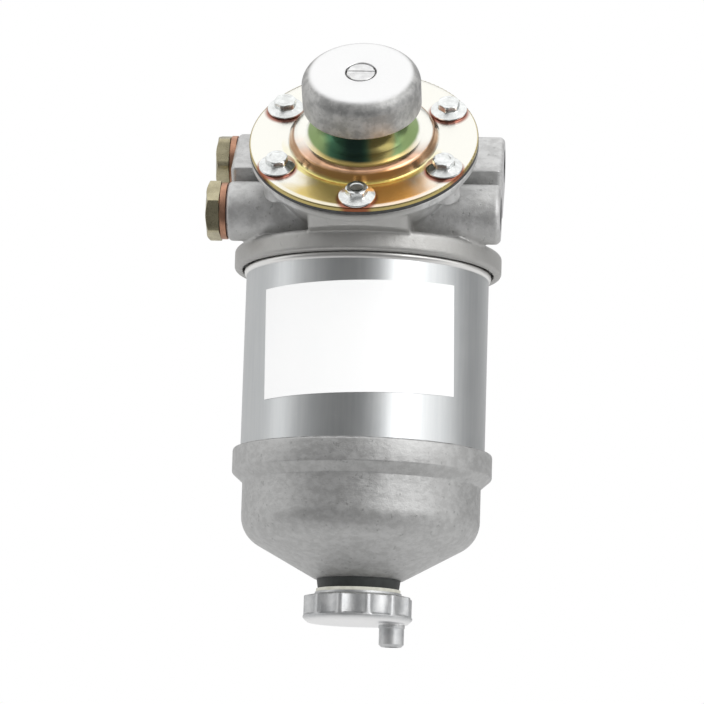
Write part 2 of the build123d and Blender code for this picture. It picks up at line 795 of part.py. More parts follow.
write(
    ring(
        filter_section,
        stud_drain_r + drain_seat_land,
        stud_foot_r - drain_seat_land,
        cap_pocket_z,
        drain_seat_top_z,
    ),
    "drain_seat",
)

with BuildPart() as drain_cap:
    with BuildSketch(filter_section):
        with BuildLine():
            Polyline(
                (0, cap_foot_z),
                (cap_r - cap_chamfer, cap_foot_z),
                (cap_r, cap_foot_z + cap_chamfer),
                (cap_r, cap_top_z - 2 * cap_collar_h),
                (cap_collar_r, cap_top_z - cap_collar_h),
                (cap_collar_r, cap_top_z),
                (0, cap_top_z),
                close=True,
            )
        make_face()
    revolve(axis=filter_axis)
    # scallops for the fingers, stopping above a plain rim
    with BuildSketch(at_level(cap_foot_z + cap_rim_h)):
        with PolarLocations(cap_r - flute_depth + flute_r, flute_count, start_angle=-90):
            Circle(flute_r)
    extrude(amount=cap_h, mode=Mode.SUBTRACT)
    # drain stub beside the axis, with a low collar at its root
    with BuildSketch(at_level(cap_foot_z - drain_stub_h)):
        with Locations((drain_offset, 0)):
            Circle(drain_stub_r)
    extrude(amount=drain_stub_h + cap_floor / 2)
    stub_end = drain_cap.faces().sort_by(Axis.Z)[0]
    chamfer(stub_end.outer_wire().edges(), length=drain_stub_chamfer)
    with BuildSketch(at_level(cap_foot_z - drain_stub_collar_h)):
        with Locations((drain_offset, 0)):
            Circle(drain_stub_r + drain_stub_collar)
    extrude(amount=drain_stub_collar_h + cap_floor / 2)
    # thread for the stud, and the way from the seat to the stub
    with BuildSketch(at_level(cap_pocket_z)):
        Circle(stud_foot_r + slide_gap)
    extrude(amount=cap_h, mode=Mode.SUBTRACT)
    passage_z = drain_seat_top_z + drain_passage_r - drain_passage_drop
    with BuildSketch(at_level(cap_foot_z - drain_stub_h)):
        with Locations((drain_offset, 0)):
            Circle(drain_stub_bore_r)
    extrude(amount=drain_stub_h + passage_z + drain_passage_r - cap_foot_z, mode=Mode.SUBTRACT)
    with BuildSketch(across(0, axis_y, passage_z)):
        Circle(drain_passage_r)
    extrude(amount=drain_offset, mode=Mode.SUBTRACT)
write(drain_cap.part, "drain_cap")

# Pump diaphragm: flat rim under the cover, one soft fold, flat middle between its plates
fold_in_r = upper_plate_r + 2 * floor_gap
fold_out_r = cover_step_r - 2 * floor_gap
fold_mid_r = (fold_in_r + fold_out_r) / 2
with BuildPart() as pump_diaphragm:
    with BuildSketch(pump_section):
        with BuildLine():
            Line((thread_bore_r, 0), (fold_in_r, 0))
            ThreePointArc((fold_in_r, 0), (fold_mid_r, diaphragm_fold_rise), (fold_out_r, 0))
            Polyline((fold_out_r, 0), (pump_r, 0), (pump_r, diaphragm_t), (fold_out_r, diaphragm_t))
            ThreePointArc(
                (fold_out_r, diaphragm_t),
                (fold_mid_r, diaphragm_fold_rise + diaphragm_t),
                (fold_in_r, diaphragm_t),
            )
            Polyline((fold_in_r, diaphragm_t), (thread_bore_r, diaphragm_t), (thread_bore_r, 0))
        make_face()
    revolve(axis=pump_axis)
    with BuildSketch(at_pump(0)):
        with PolarLocations(screw_pcd / 2, screw_count, start_angle=-90):
            Circle(cover_screw_r + screw_pass_gap)
    extrude(amount=diaphragm_t, mode=Mode.SUBTRACT)
write(pump_diaphragm.part, "pump_diaphragm")

# Pump cover: pressed steel, stepped up to a flat ring and drawn into a hollow neck
plateau_top_h = cover_plateau_h + cover_t
with BuildPart() as pump_cover:
    with BuildSketch(pump_section):
        with BuildLine():
            FilletPolyline(
                (cover_step_r, cover_foot_h),
                (pump_r, cover_foot_h),
                (pump_r, screw_seat_h),
                (cover_step_r + cover_t / 2, screw_seat_h),
                (cover_plateau_r + cover_t / 2, plateau_top_h),
                (cover_neck_foot_r + cover_t / 2, plateau_top_h),
                (cover_cove_r + cover_t / 2, cover_cove_h),
                (cover_neck_r, cover_neck_top_h),
                (guide_r, cover_neck_top_h),
                radius=(
                    cover_under_edge,
                    cover_upper_edge,
                    cover_foot_bend,
                    cover_ring_bend,
                    cover_ring_bend,
                    cover_cove_bend,
                    cover_neck_bend,
                ),
            )
            Line((guide_r, cover_neck_top_h), (guide_r, cover_neck_top_h - cover_t))
            FilletPolyline(
                (guide_r, cover_neck_top_h - cover_t),
                (cover_neck_r - cover_t, cover_neck_top_h - cover_t),
                (cover_cove_r - cover_t / 2, cover_cove_h - cover_t / 2),
                (cover_neck_foot_r - cover_t / 2, cover_plateau_h),
                (cover_plateau_r, cover_plateau_h),
                (cover_step_r, cover_foot_h),
                radius=(
                    cover_inner_neck_bend,
                    cover_inner_cove_bend,
                    cover_inner_ring_bend,
                    cover_inner_step_bend,
                ),
            )
        make_face()
    revolve(axis=pump_axis)
    with BuildSketch(at_pump(cover_foot_h)):
        with PolarLocations(screw_pcd / 2, screw_count, start_angle=-90):
            Circle(cover_screw_r + screw_pass_gap)
    extrude(amount=cover_t, mode=Mode.SUBTRACT)
write(pump_cover.part, "pump_cover")

# Brass guide in the cover's neck
with BuildPart() as spindle_guide:
    with BuildSketch(pump_section):
        with BuildLine():
            Polyline(
                (spindle_bore_r, guide_foot_h),
                (guide_r, guide_foot_h),
                (guide_r, cover_neck_top_h),
                (guide_flange_r, cover_neck_top_h),
                (guide_flange_r, guide_top_h),
                (spindle_bore_r, guide_top_h),
                close=True,
            )
        make_face()
    revolve(axis=pump_axis)
write(spindle_guide.part, "spindle_guide")

# Cover screws: hexagon heads on a coned flange, dished on top
screw_cone_h = screw_seat_h + cover_screw_flange_t
screw_top_h = screw_seat_h + cover_screw_head_h
with BuildPart() as cover_screws:
    for i in range(screw_count):
        screw_angle = math.radians(i * screw_step - 90)
        x = screw_pcd / 2 * math.cos(screw_angle)
        e = screw_pcd / 2 * math.sin(screw_angle)
        with BuildSketch(at_pump(screw_seat_h - cover_screw_length, x, e)):
            Circle(cover_screw_r)
        extrude(amount=cover_screw_length)
        with BuildSketch(at_pump(screw_seat_h, x, e)):
            Circle(cover_screw_flange_r)
        extrude(amount=cover_screw_flange_t)
        with BuildSketch(at_pump(screw_cone_h, x, e)):
            Circle(cover_screw_flange_r)
        extrude(amount=cover_screw_cone_h, taper=cover_screw_cone_slope)
        with BuildSketch(at_pump(screw_cone_h, x, e)):
            RegularPolygon(
                radius=cover_screw_flats / 2,
                side_count=6,
                major_radius=False,
                rotation=cover_screw_turn,
            )
        extrude(amount=screw_top_h - screw_cone_h)
        with BuildSketch(at_pump(screw_top_h, x, e)):
            Circle(cover_screw_cup_r)
        extrude(amount=-cover_screw_cup_depth, taper=cover_screw_cup_slope, mode=Mode.SUBTRACT)
write(cover_screws.part, "cover_screws")

# Spindle with its collar, the two diaphragm plates and the nut
spindle_foot_h = -plate_t - nut_h - spindle_end
with BuildPart() as pump_spindle:
    with BuildSketch(pump_section):
        with BuildLine():
            Polyline(
                (0, spindle_foot_h),
                (spindle_thread_r, spindle_foot_h),
                (spindle_thread_r, collar_foot_h),
                (spindle_collar_r, collar_foot_h),
                (spindle_collar_r, guide_foot_h),
                (spindle_r, guide_foot_h),
                (spindle_r, knob_ceiling_h),
                (0, knob_ceiling_h),
                close=True,
            )
        make_face()
    revolve(axis=pump_axis)
    with BuildSketch(at_pump(knob_ceiling_h)):
        Circle(knob_screw_r + slide_gap)
    extrude(amount=-knob_screw_length, mode=Mode.SUBTRACT)
write(pump_spindle.part, "pump_spindle")

write(
    ring(pump_section, thread_bore_r, upper_plate_r, cover_foot_h, collar_foot_h),
    "upper_diaphragm_plate",
)
write(ring(pump_section, thread_bore_r, lower_plate_r, -plate_t, 0), "lower_diaphragm_plate")

with BuildPart() as spindle_nut:
    with BuildSketch(at_pump(-plate_t - nut_h)):
        RegularPolygon(radius=nut_flats / 2, side_count=6, major_radius=False)
        Circle(thread_bore_r, mode=Mode.SUBTRACT)
    extrude(amount=nut_h)
write(spindle_nut.part, "spindle_nut")

# Knob: a hollow casting that hides the return spring, with a pocket on top for its screw
knob_inner_r = knob_r - knob_wall
knob_web_r = knob_screw_r + 2 * seat_gap
knob_shoulder_foot = (knob_r, knob_top_h - knob_shoulder_r)
knob_shoulder_top = (knob_r - knob_shoulder_r, knob_top_h)
with BuildPart() as pump_knob:
    with BuildSketch(pump_section):
        with BuildLine():
            Polyline(
                (knob_inner_r, knob_foot_h),
                (knob_r - knob_foot_bevel, knob_foot_h),
                (knob_r, knob_foot_h + knob_foot_bevel),
                knob_shoulder_foot,
            )
            RadiusArc(knob_shoulder_foot, knob_shoulder_top, -knob_shoulder_r)
            Polyline(
                knob_shoulder_top,
                (knob_pocket_r, knob_top_h),
                (knob_pocket_r, knob_top_h - knob_pocket_depth),
                (knob_web_r, knob_top_h - knob_pocket_depth),
                (knob_web_r, knob_ceiling_h),
                (spindle_bore_r, knob_ceiling_h),
                (spindle_bore_r, knob_boss_foot_h),
                (knob_boss_r, knob_boss_foot_h),
                (knob_boss_r, knob_ceiling_h),
                (knob_inner_r - knob_inner_bevel, knob_ceiling_h),
                (knob_inner_r, knob_ceiling_h - knob_inner_bevel),
                (knob_inner_r, knob_foot_h),
            )
        make_face()
    revolve(axis=pump_axis)
write(pump_knob.part, "pump_knob")

screw_head_foot_h = knob_top_h - knob_pocket_depth
screw_head_top_h = knob_top_h - knob_screw_sunk
knob_screw_tip_h = knob_ceiling_h - knob_screw_length + 2 * floor_gap
with BuildPart() as knob_screw:
    with BuildSketch(at_pump(knob_screw_tip_h)):
        Circle(knob_screw_r)
    extrude(amount=screw_head_foot_h - knob_screw_tip_h)
    with BuildSketch(at_pump(screw_head_foot_h)):
        Circle(knob_screw_head_r)
    extrude(amount=screw_head_top_h - screw_head_foot_h)
    with BuildSketch(at_pump(screw_head_top_h)):
        Rectangle(2 * (knob_screw_head_r + seat_gap), slot_w)
    extrude(amount=-slot_depth, mode=Mode.SUBTRACT)
write(knob_screw.part, "knob_screw")

# Return spring between the cover's neck and the knob
spring_foot = at_pump(cover_neck_top_h + knob_spring_wire_r)
spring_length = knob_ceiling_h - cover_neck_top_h - 2 * knob_spring_wire_r
with BuildPart() as knob_spring:
    with BuildLine():
        coil = Helix(
            pitch=spring_length / knob_spring_turns,
            height=spring_length,
            radius=knob_spring_r,
            center=spring_foot.origin,
            direction=spring_foot.z_dir,
        )
    with BuildSketch(Plane(origin=coil @ 0, z_dir=coil % 0)):
        Circle(knob_spring_wire_r)
    sweep(is_frenet=True)
write(knob_spring.part, "knob_spring")


# Non-return valves: a brass cup with a holed seat, a fibre disc and a three-armed leaf spring
def valve(seat):
    """Cup, disc and spring of one valve, the cup's holed floor lying on the seat plane."""
    turning_axis = Axis(seat.origin, seat.z_dir)
    section = Plane(origin=seat.origin, x_dir=seat.x_dir, z_dir=seat.x_dir.cross(seat.z_dir))
    cup_r = valve_pocket_r - press_gap
    wall_r = cup_r - valve_cup_wall
    lip_foot = valve_cup_h - valve_lip_t
    with BuildPart() as cup:
        with BuildSketch(section):
            with BuildLine():
                Polyline(
                    (0, 0),
                    (cup_r, 0),
                    (cup_r, valve_cup_h),
                    (wall_r - valve_lip_w, valve_cup_h),
                    (wall_r - valve_lip_w, lip_foot),
                    (wall_r, lip_foot),
                    (wall_r, valve_cup_floor),
                    (0, valve_cup_floor),
                    close=True,
                )
            make_face()
        revolve(axis=turning_axis)
        with BuildSketch(seat):
            with PolarLocations(valve_hole_circle_r, valve_hole_count):
                Circle(valve_hole_r)
        extrude(amount=valve_cup_floor, mode=Mode.SUBTRACT)
    with BuildPart() as disc:
        with BuildSketch(seat.offset(valve_cup_floor)):
            Circle(valve_disc_r)
        extrude(amount=valve_disc_t)
    leaf_foot = valve_cup_floor + valve_disc_t
    hub_r = valve_spring_arm_w
    tip_r = wall_r - seat_gap
    knee_r = wall_r - valve_lip_w
    with BuildPart() as spring:
        with BuildSketch(section):
            with BuildLine():
                Polyline(
                    (0, leaf_foot),
                    (hub_r, leaf_foot),
                    (knee_r, lip_foot - valve_spring_t),
                    (tip_r, lip_foot - valve_spring_t),
                    (tip_r, lip_foot),
                    (knee_r - valve_spring_t, lip_foot),
                    (hub_r - valve_spring_t, leaf_foot + valve_spring_t),
                    (0, leaf_foot + valve_spring_t),
                    close=True,
                )
            make_face()
        revolve(axis=turning_axis)
        with BuildSketch(seat.offset(leaf_foot)):
            Circle(hub_r)
            with PolarLocations(0, valve_spring_arms):
                Rectangle(wall_r, valve_spring_arm_w, align=(Align.MIN, Align.CENTER))
        extrude(amount=lip_foot - leaf_foot, mode=Mode.INTERSECT)
    return cup.part, disc.part, spring.part


# the outlet valve is the same cup turned over, its holed floor towards the chamber
cup_mouth_h = pocket_floor_h + valve_cup_h
inlet_seat = at_pump(pocket_floor_h, inlet_valve_x, inlet_valve_e)
outlet_place = at_pump(cup_mouth_h, outlet_valve_x, outlet_valve_e)
outlet_seat = Plane(origin=outlet_place.origin, x_dir=outlet_place.x_dir, z_dir=-outlet_place.z_dir)
for valve_name, seat in (("inlet", inlet_seat), ("outlet", outlet_seat)):
    for piece, role in zip(valve(seat), ("cup", "disc", "spring")):
        write(piece, f"{valve_name}_valve_{role}")
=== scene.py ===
import bmesh
import bpy
import json
import math
from mathutils import Matrix, Vector


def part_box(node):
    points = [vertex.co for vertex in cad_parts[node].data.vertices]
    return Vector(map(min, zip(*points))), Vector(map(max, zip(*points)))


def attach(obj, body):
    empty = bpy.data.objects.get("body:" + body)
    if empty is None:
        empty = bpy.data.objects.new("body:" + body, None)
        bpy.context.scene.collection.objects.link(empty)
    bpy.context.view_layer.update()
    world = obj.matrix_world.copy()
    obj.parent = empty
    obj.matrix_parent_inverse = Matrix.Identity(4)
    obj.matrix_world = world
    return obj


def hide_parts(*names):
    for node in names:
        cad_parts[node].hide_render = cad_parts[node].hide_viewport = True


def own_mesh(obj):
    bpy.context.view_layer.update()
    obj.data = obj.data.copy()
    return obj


# Diesel fuel filter with a diaphragm hand pump: finishes, softened castings, screws, plugs, springs,
# threads, the label, the studio and the camera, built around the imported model. Sizes are in metres.

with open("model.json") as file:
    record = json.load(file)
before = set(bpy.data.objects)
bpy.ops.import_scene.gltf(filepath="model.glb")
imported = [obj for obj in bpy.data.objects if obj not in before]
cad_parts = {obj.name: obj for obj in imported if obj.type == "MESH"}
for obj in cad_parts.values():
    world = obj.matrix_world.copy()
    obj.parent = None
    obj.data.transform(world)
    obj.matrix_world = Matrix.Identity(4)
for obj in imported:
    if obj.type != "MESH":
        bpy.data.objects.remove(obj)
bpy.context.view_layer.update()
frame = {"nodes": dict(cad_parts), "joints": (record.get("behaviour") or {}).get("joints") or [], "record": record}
nodes = frame["nodes"]
joints = {joint["name"]: joint for joint in frame["joints"]}
mounts = {mount["name"]: mount for mount in frame["record"]["mounts"]}
mm = 0.001


def turnedTo(x, y, z):
    # the turn that lays the world's axes along these three
    return Matrix((x, y, z)).transposed().to_4x4()


# The pump's own axes: x to the right, e up the slanted face, height along the plunger
rightward = Vector((1, 0, 0))
pumpUp = -Vector(joints["pump_press"]["axis"]).normalized()
slopeUp = Vector((0, pumpUp.z, -pumpUp.y))
pumpOrigin = Vector((0, -89.5 * mm, -0.2 * mm))
pumpPlace = Matrix.Translation(pumpOrigin) @ turnedTo(rightward, slopeUp, pumpUp)

# The filter column's axis
columnY = (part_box("element_can")[0].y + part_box("element_can")[1].y) / 2
print("frame loaded:", len(nodes), "nodes")


class Wire:
    # a socket that Python arithmetic can be written on
    def __init__(self, tree, socket=None):
        self.tree = tree
        self.socket = socket

    def node(self, kind, settings=None, sockets=None, out=0, stops=None):
        made = self.tree.nodes.new(kind)
        for key, value in (settings or {}).items():
            setattr(made, key, value)
        if stops:
            while len(made.color_ramp.elements) < len(stops):
                made.color_ramp.elements.new(1.0)
            for element, (position, tone) in zip(made.color_ramp.elements, stops):
                element.position = position
                element.color = (tone, tone, tone, 1.0)
        for key, value in (sockets or {}).items():
            if isinstance(value, Wire):
                self.tree.links.new(value.socket, made.inputs[key])
            else:
                made.inputs[key].default_value = value
        return Wire(self.tree, made.outputs[out]) if len(made.outputs) else None

    def calc(self, operation, *values):
        return self.node("ShaderNodeMath", {"operation": operation}, dict(enumerate(values)))

    def __add__(self, other):
        return self.calc("ADD", self, other)

    __radd__ = __add__

    def __sub__(self, other):
        return self.calc("SUBTRACT", self, other)

    def __rsub__(self, other):
        return self.calc("SUBTRACT", other, self)

    def __mul__(self, other):
        return self.calc("MULTIPLY", self, other)

    __rmul__ = __mul__

    def __truediv__(self, other):
        return self.calc("DIVIDE", self, other)

    def __rtruediv__(self, other):
        return self.calc("DIVIDE", other, self)

    def absolute(self):
        return self.calc("ABSOLUTE", self)

    def held(self, low, high):
        return self.calc("MINIMUM", self.calc("MAXIMUM", self, low), high)

    def clamped(self):
        return self.held(0.0, 1.0)

    def step(self, low, high):
        # 0 below low, 1 above high, soft between them
        return self.node("ShaderNodeMapRange", {"interpolation_type": "SMOOTHSTEP"},
                         {"Value": self, "From Min": low, "From Max": high})

    def band(self, rise, full, fade, end):
        # 1 between full and fade, 0 below rise and above end
        return self.step(rise, full) * (1 - self.step(fade, end))


def newMaterial(name):
    # an empty material, its graph and the point on the object
    material = bpy.data.materials.new(name)
    material.use_nodes = True
    tree = material.node_tree
    tree.nodes.clear()
    graph = Wire(tree)
    return material, graph, graph.node("ShaderNodeTexCoord", out="Object")


def finished(graph, sockets, bump=None):
    # closes a material with one Principled shader
    if bump is not None:
        sockets = dict(sockets, Normal=bump)
    shader = graph.node("ShaderNodeBsdfPrincipled", sockets=sockets)
    graph.node("ShaderNodeOutputMaterial", sockets={"Surface": shader})


def noise(graph, where, size, detail=3.0, roughness=0.55, distortion=0.0, stretch=(1, 1, 1)):
    # noise whose blotches are about this size across
    scaled = graph.node("ShaderNodeVectorMath", {"operation": "MULTIPLY"},
                        {0: where, 1: [s / size for s in stretch]})
    return graph.node("ShaderNodeTexNoise", {"noise_dimensions": "3D"},
                      {"Vector": scaled, "Scale": 1.0, "Detail": detail, "Roughness": roughness,
                       "Distortion": distortion}, out="Fac")


def blend(graph, factor, low, high):
    # colour from low to high
    low, high = (tone if isinstance(tone, Wire) else (*tone, 1.0) for tone in (low, high))
    return graph.node("ShaderNodeMix", {"data_type": "RGBA", "clamp_factor": True},
                      {0: factor, 6: low, 7: high}, out=2)


def bumped(graph, height, distance, strength=1.0, under=None):
    sockets = {"Height": height, "Distance": distance, "Strength": strength}
    if under is not None:
        sockets["Normal"] = under
    return graph.node("ShaderNodeBump", sockets=sockets)


def split(graph, where):
    # the x, y and z of a point
    made = graph.node("ShaderNodeSeparateXYZ", sockets={"Vector": where}).socket.node
    return [Wire(graph.tree, output) for output in made.outputs]


def alongPump(graph, where):
    # a point's x, its e up the slope, its height along the plunger and its distance from it
    local = graph.node("ShaderNodeVectorMath", {"operation": "SUBTRACT"},
                       {0: where, 1: tuple(pumpOrigin)})
    x, e, height = [
        graph.node("ShaderNodeVectorMath", {"operation": "DOT_PRODUCT"},
                   {0: local, 1: tuple(axis)}, out="Value")
        for axis in (rightward, slopeUp, pumpUp)
    ]
    return x, e, height, graph.calc("SQRT", x * x + e * e)


# Cast aluminium, for the head, the bowl, the knob and the cap
castLook = dict(
    tone=(0.62, 0.62, 0.615),
    dark=(0.51, 0.51, 0.505),
    pale=(0.73, 0.73, 0.725),
    blotch=4.5 * mm,           # clouds
    grain=1.1 * mm,            # specks
    sand=0.32 * mm,            # skin of the mould
    flat=1.0,                  # over 1 the clouds are wider than tall
    cloudiness=0.7,
    pitting=0.5,
    relief=0.14 * mm,
    roughness=0.48,
    metallic=0.85,             # the rest is the pale skin that scatters light
)


def castMetal(name, look, machined=None, litHollow=None, darkened=None):
    # cloudy greys, a fine sandy skin and small pits; the machined parts are brighter and finer (partly painted
    # light); darker zones are painted shade, a pale dull hollow painted light
    material, graph, where = newMaterial(name)
    cloud = noise(graph, where, look["blotch"], detail=5.0, roughness=0.66,
                  stretch=(1, 1, look["flat"]))
    speck = noise(graph, where, look["grain"], detail=3.0, roughness=0.7)
    sand = noise(graph, where, look["sand"], detail=2.0)
    clouded = blend(graph, cloud.step(0.38, 0.64), look["dark"], look["pale"])
    colour = blend(graph, look["cloudiness"], look["tone"], clouded)
    pits = 1 - noise(graph, where, look["grain"] * 2.3, detail=2.0, roughness=0.8).step(0.27, 0.37)
    colour = blend(graph, pits * look["pitting"], colour, [c * 0.5 for c in look["dark"]])
    colour = blend(graph, speck.step(0.5, 0.75) * 0.35, colour, look["pale"])
    # darker zones; on the head this is painted shade on the pedestal under the pump
    if darkened is not None:
        mask, darkTone = darkened(graph, where)
        colour = blend(graph, mask * (0.6 + cloud * 0.8), colour, darkTone)
    roughness = look["roughness"] + (cloud - 0.5) * 0.2 + (speck - 0.5) * 0.12
    height = sand * 0.3 + speck * 0.7 - pits * 0.6
    normal = bumped(graph, cloud, 0.5 * mm, 0.35)
    normal = bumped(graph, height, look["relief"], 0.7, under=normal)
    metallic = look["metallic"]
    # machined faces are paler; on the knob's top and the cap's foot this is partly painted light
    if machined is not None:
        mask, clean = machined(graph, where)
        turning = noise(graph, where, 0.5 * mm, detail=1.0)
        colour = blend(graph, mask, colour, (clean, clean, clean))
        roughness = roughness * (1 - mask) + (0.3 + turning * 0.1) * mask
        metallic = metallic + mask * (1 - look["metallic"])
    # a pale, dull zone: painted light
    if litHollow is not None:
        mask, pale = litHollow(graph, where)
        colour = blend(graph, mask, colour, (pale, pale, pale))
        metallic = metallic * (1 - mask)
    finished(graph, {"Base Color": colour, "Metallic": metallic, "Roughness": roughness.clamped()},
             normal)
    return material


# Faces of the castings that look otherwise: where their masks fade in, and their tones
faceLook = dict(
    milledEnds=(47.75 * mm, 47.9 * mm),
    milledBack=(-0.35 * mm, -0.15 * mm),
    milledTone=0.72,
    # a darker flange, and painted shade on the pedestal under the pump
    darkerFlange=(-36 * mm, -28 * mm),
    shadedFront=(-74 * mm, -66 * mm),
    shadedHalf=(17 * mm, 24 * mm),
    darkAndShadeTone=(0.49, 0.485, 0.47),
    knobTop=(29.9 * mm, 30.9 * mm),
    knobTopLitTone=0.91,
    knobHollow=(18.1 * mm, 18.5 * mm),
    knobCeiling=(28.3 * mm, 28.6 * mm),
    knobHollowLitTone=0.8,
    capHeight=10.6 * mm,       # from the cap's foot to its collar
    capFaced=(-0.5 * mm, -0.2 * mm, 0.2 * mm, 1.8 * mm),
    # the near white foot is partly painted light
    capFootLitTone=0.97,
)


def milledFaces(graph, where):
    # the ends of the cross bosses and the bracket's bolt faces
    x, y, z = split(graph, where)
    ends = x.absolute().step(*faceLook["milledEnds"])
    return graph.calc("MAXIMUM", ends, y.step(*faceLook["milledBack"])), faceLook["milledTone"]


def headDarkAndShade(graph, where):
    # darker tone on the flange above the canister, and painted shade on the pedestal under the pump
    x, y, z = split(graph, where)
    flange = 1 - z.step(*faceLook["darkerFlange"])
    front = 1 - y.step(*faceLook["shadedFront"])
    pedestal = front * (1 - x.absolute().step(*faceLook["shadedHalf"]))
    return graph.calc("MAXIMUM", flange, pedestal), faceLook["darkAndShadeTone"]


def turnedLitTop(graph, where):
    # the knob's turned top face, paler partly as painted light from above
    x, e, height, radius = alongPump(graph, where)
    return height.step(*faceLook["knobTop"]), faceLook["knobTopLitTone"]


def knobHollowLight(graph, where):
    # the knob's hollow, made pale and dull: painted light in the hollow, which the cover also reflects
    x, e, height, radius = alongPump(graph, where)
    hollow = 1 - radius.step(*faceLook["knobHollow"])
    return hollow * (1 - height.step(*faceLook["knobCeiling"])), faceLook["knobHollowLitTone"]


def capFootLit(graph, where):
    # the cap's faced underside and its chamfer, near white partly as painted light
    x, y, z = split(graph, where)
    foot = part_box("drain_cap")[1].z - faceLook["capHeight"]
    return z.band(*[foot + edge for edge in faceLook["capFaced"]]), faceLook["capFootLitTone"]


canLook = dict(
    tone=(0.69, 0.70, 0.70),
    dark=(0.57, 0.59, 0.60),
    scuffed=(0.78, 0.79, 0.78),
    # the bead's paler colour is a painted highlight
    bead=(0.92, 0.91, 0.89),
    beadFoot=-42.0 * mm,       # lower end of the rolled bead
    streak=1.4 * mm,
    cloud=16 * mm,
    scuff=5 * mm,
    wave=30 * mm,
    waveDepth=0.8 * mm,
    roughness=0.33,
)


def canSteel(name, look):
    # drawn and tinned sheet: faint upright marks, a cloudy sheen, a slight waviness and a painted highlight along
    # the rolled bead
    material, graph, where = newMaterial(name)
    streaks = noise(graph, where, look["streak"], detail=2.0, stretch=(1, 1, 0.05))
    cloud = noise(graph, where, look["cloud"], detail=3.0)
    scuff = noise(graph, where, look["scuff"], detail=5.0, roughness=0.75).step(0.60, 0.78)
    colour = blend(graph, streaks.step(0.3, 0.7) * 0.3 + cloud * 0.7, look["dark"], look["tone"])
    colour = blend(graph, scuff * 0.3, colour, look["scuffed"])
    x, y, z = split(graph, where)
    # painted highlight along the rolled bead
    bead = z.step(look["beadFoot"] - 0.3 * mm, look["beadFoot"] + 0.3 * mm)
    colour = blend(graph, bead, colour, look["bead"])
    roughness = look["roughness"] + (streaks - 0.5) * 0.05 + (cloud - 0.5) * 0.08 + scuff * 0.08
    normal = bumped(graph, noise(graph, where, look["wave"], detail=1.0), look["waveDepth"], 0.3)
    finished(graph, {"Base Color": colour, "Metallic": 1.0, "Roughness": roughness.clamped()}, normal)
    return material


zincLook = dict(
    straw=(0.925, 0.915, 0.85),
    orange=(1.0, 0.50, 0.13),
    olive=(0.74, 0.57, 0.20),
    rose=(0.94, 0.55, 0.36),
    roseDeep=(0.55, 0.30, 0.17),
    lime=(0.85, 0.74, 0.22),
    brown=(0.46, 0.22, 0.07),
    copper=(0.25, 0.19, 0.06),
    # the neck's green, darkened as painted shade under the knob
    shadedMoss=(0.06, 0.16, 0.09),
    paling=(0.27, 0.36, 0.15),
    shade=(0.015, 0.03, 0.03),
    # dark red painted contact shadow under the screws
    screwShadowTone=(0.34, 0.09, 0.05),
    edgeTone=(0.58, 0.47, 0.19),
    dyed=0.2,                  # how much of the deep colour lies in the film itself
    patch=11 * mm,
    wander=5 * mm,             # how far the patches push the colours' edges
    frontHalf=38.0,            # degrees each side of the front where the colour is deepest
    wide=(0.8, 1.5),           # and the angles at which the rings fade out
    deepAcross=(-9 * mm, 8 * mm),
    rings=dict(                # inner radius, outer radius and softness
        groove=(25.9 * mm, 28.5 * mm, 0.5 * mm),
        grooveLine=(26.9 * mm, 27.5 * mm, 0.3 * mm),
        foot=(24.2 * mm, 26.0 * mm, 0.4 * mm),
        crest=(21.0 * mm, 24.4 * mm, 0.6 * mm),
        plateau=(18.6 * mm, 20.9 * mm, 0.5 * mm),
        neck=(0.0, 19.4 * mm, 0.6 * mm),
    ),
    copperAcross=(1 * mm, 5 * mm, 9 * mm, 14 * mm),
    shadeAcross=(-9 * mm, -3 * mm, 0.0, 4 * mm),
    palingAcross=(10 * mm, 15 * mm),
    rolled=37.4 * mm,          # the rim rolls over from here
    rollRadius=5.5 * mm,
    edge=39.3 * mm,            # and its colour deepens from here
    crestFoot=20.9 * mm,       # the plateau rounds over from here
    crestEnd=23.9 * mm,
    crestOut=25.6 * mm,
    crestSlope=0.62,
    roughness=0.22,
)
screwCircle = dict(count=6, radius=33.3 * mm, screwShadow=6.2 * mm, screwShadowWidth=1.7 * mm, screwShadowDrop=1.2 * mm)


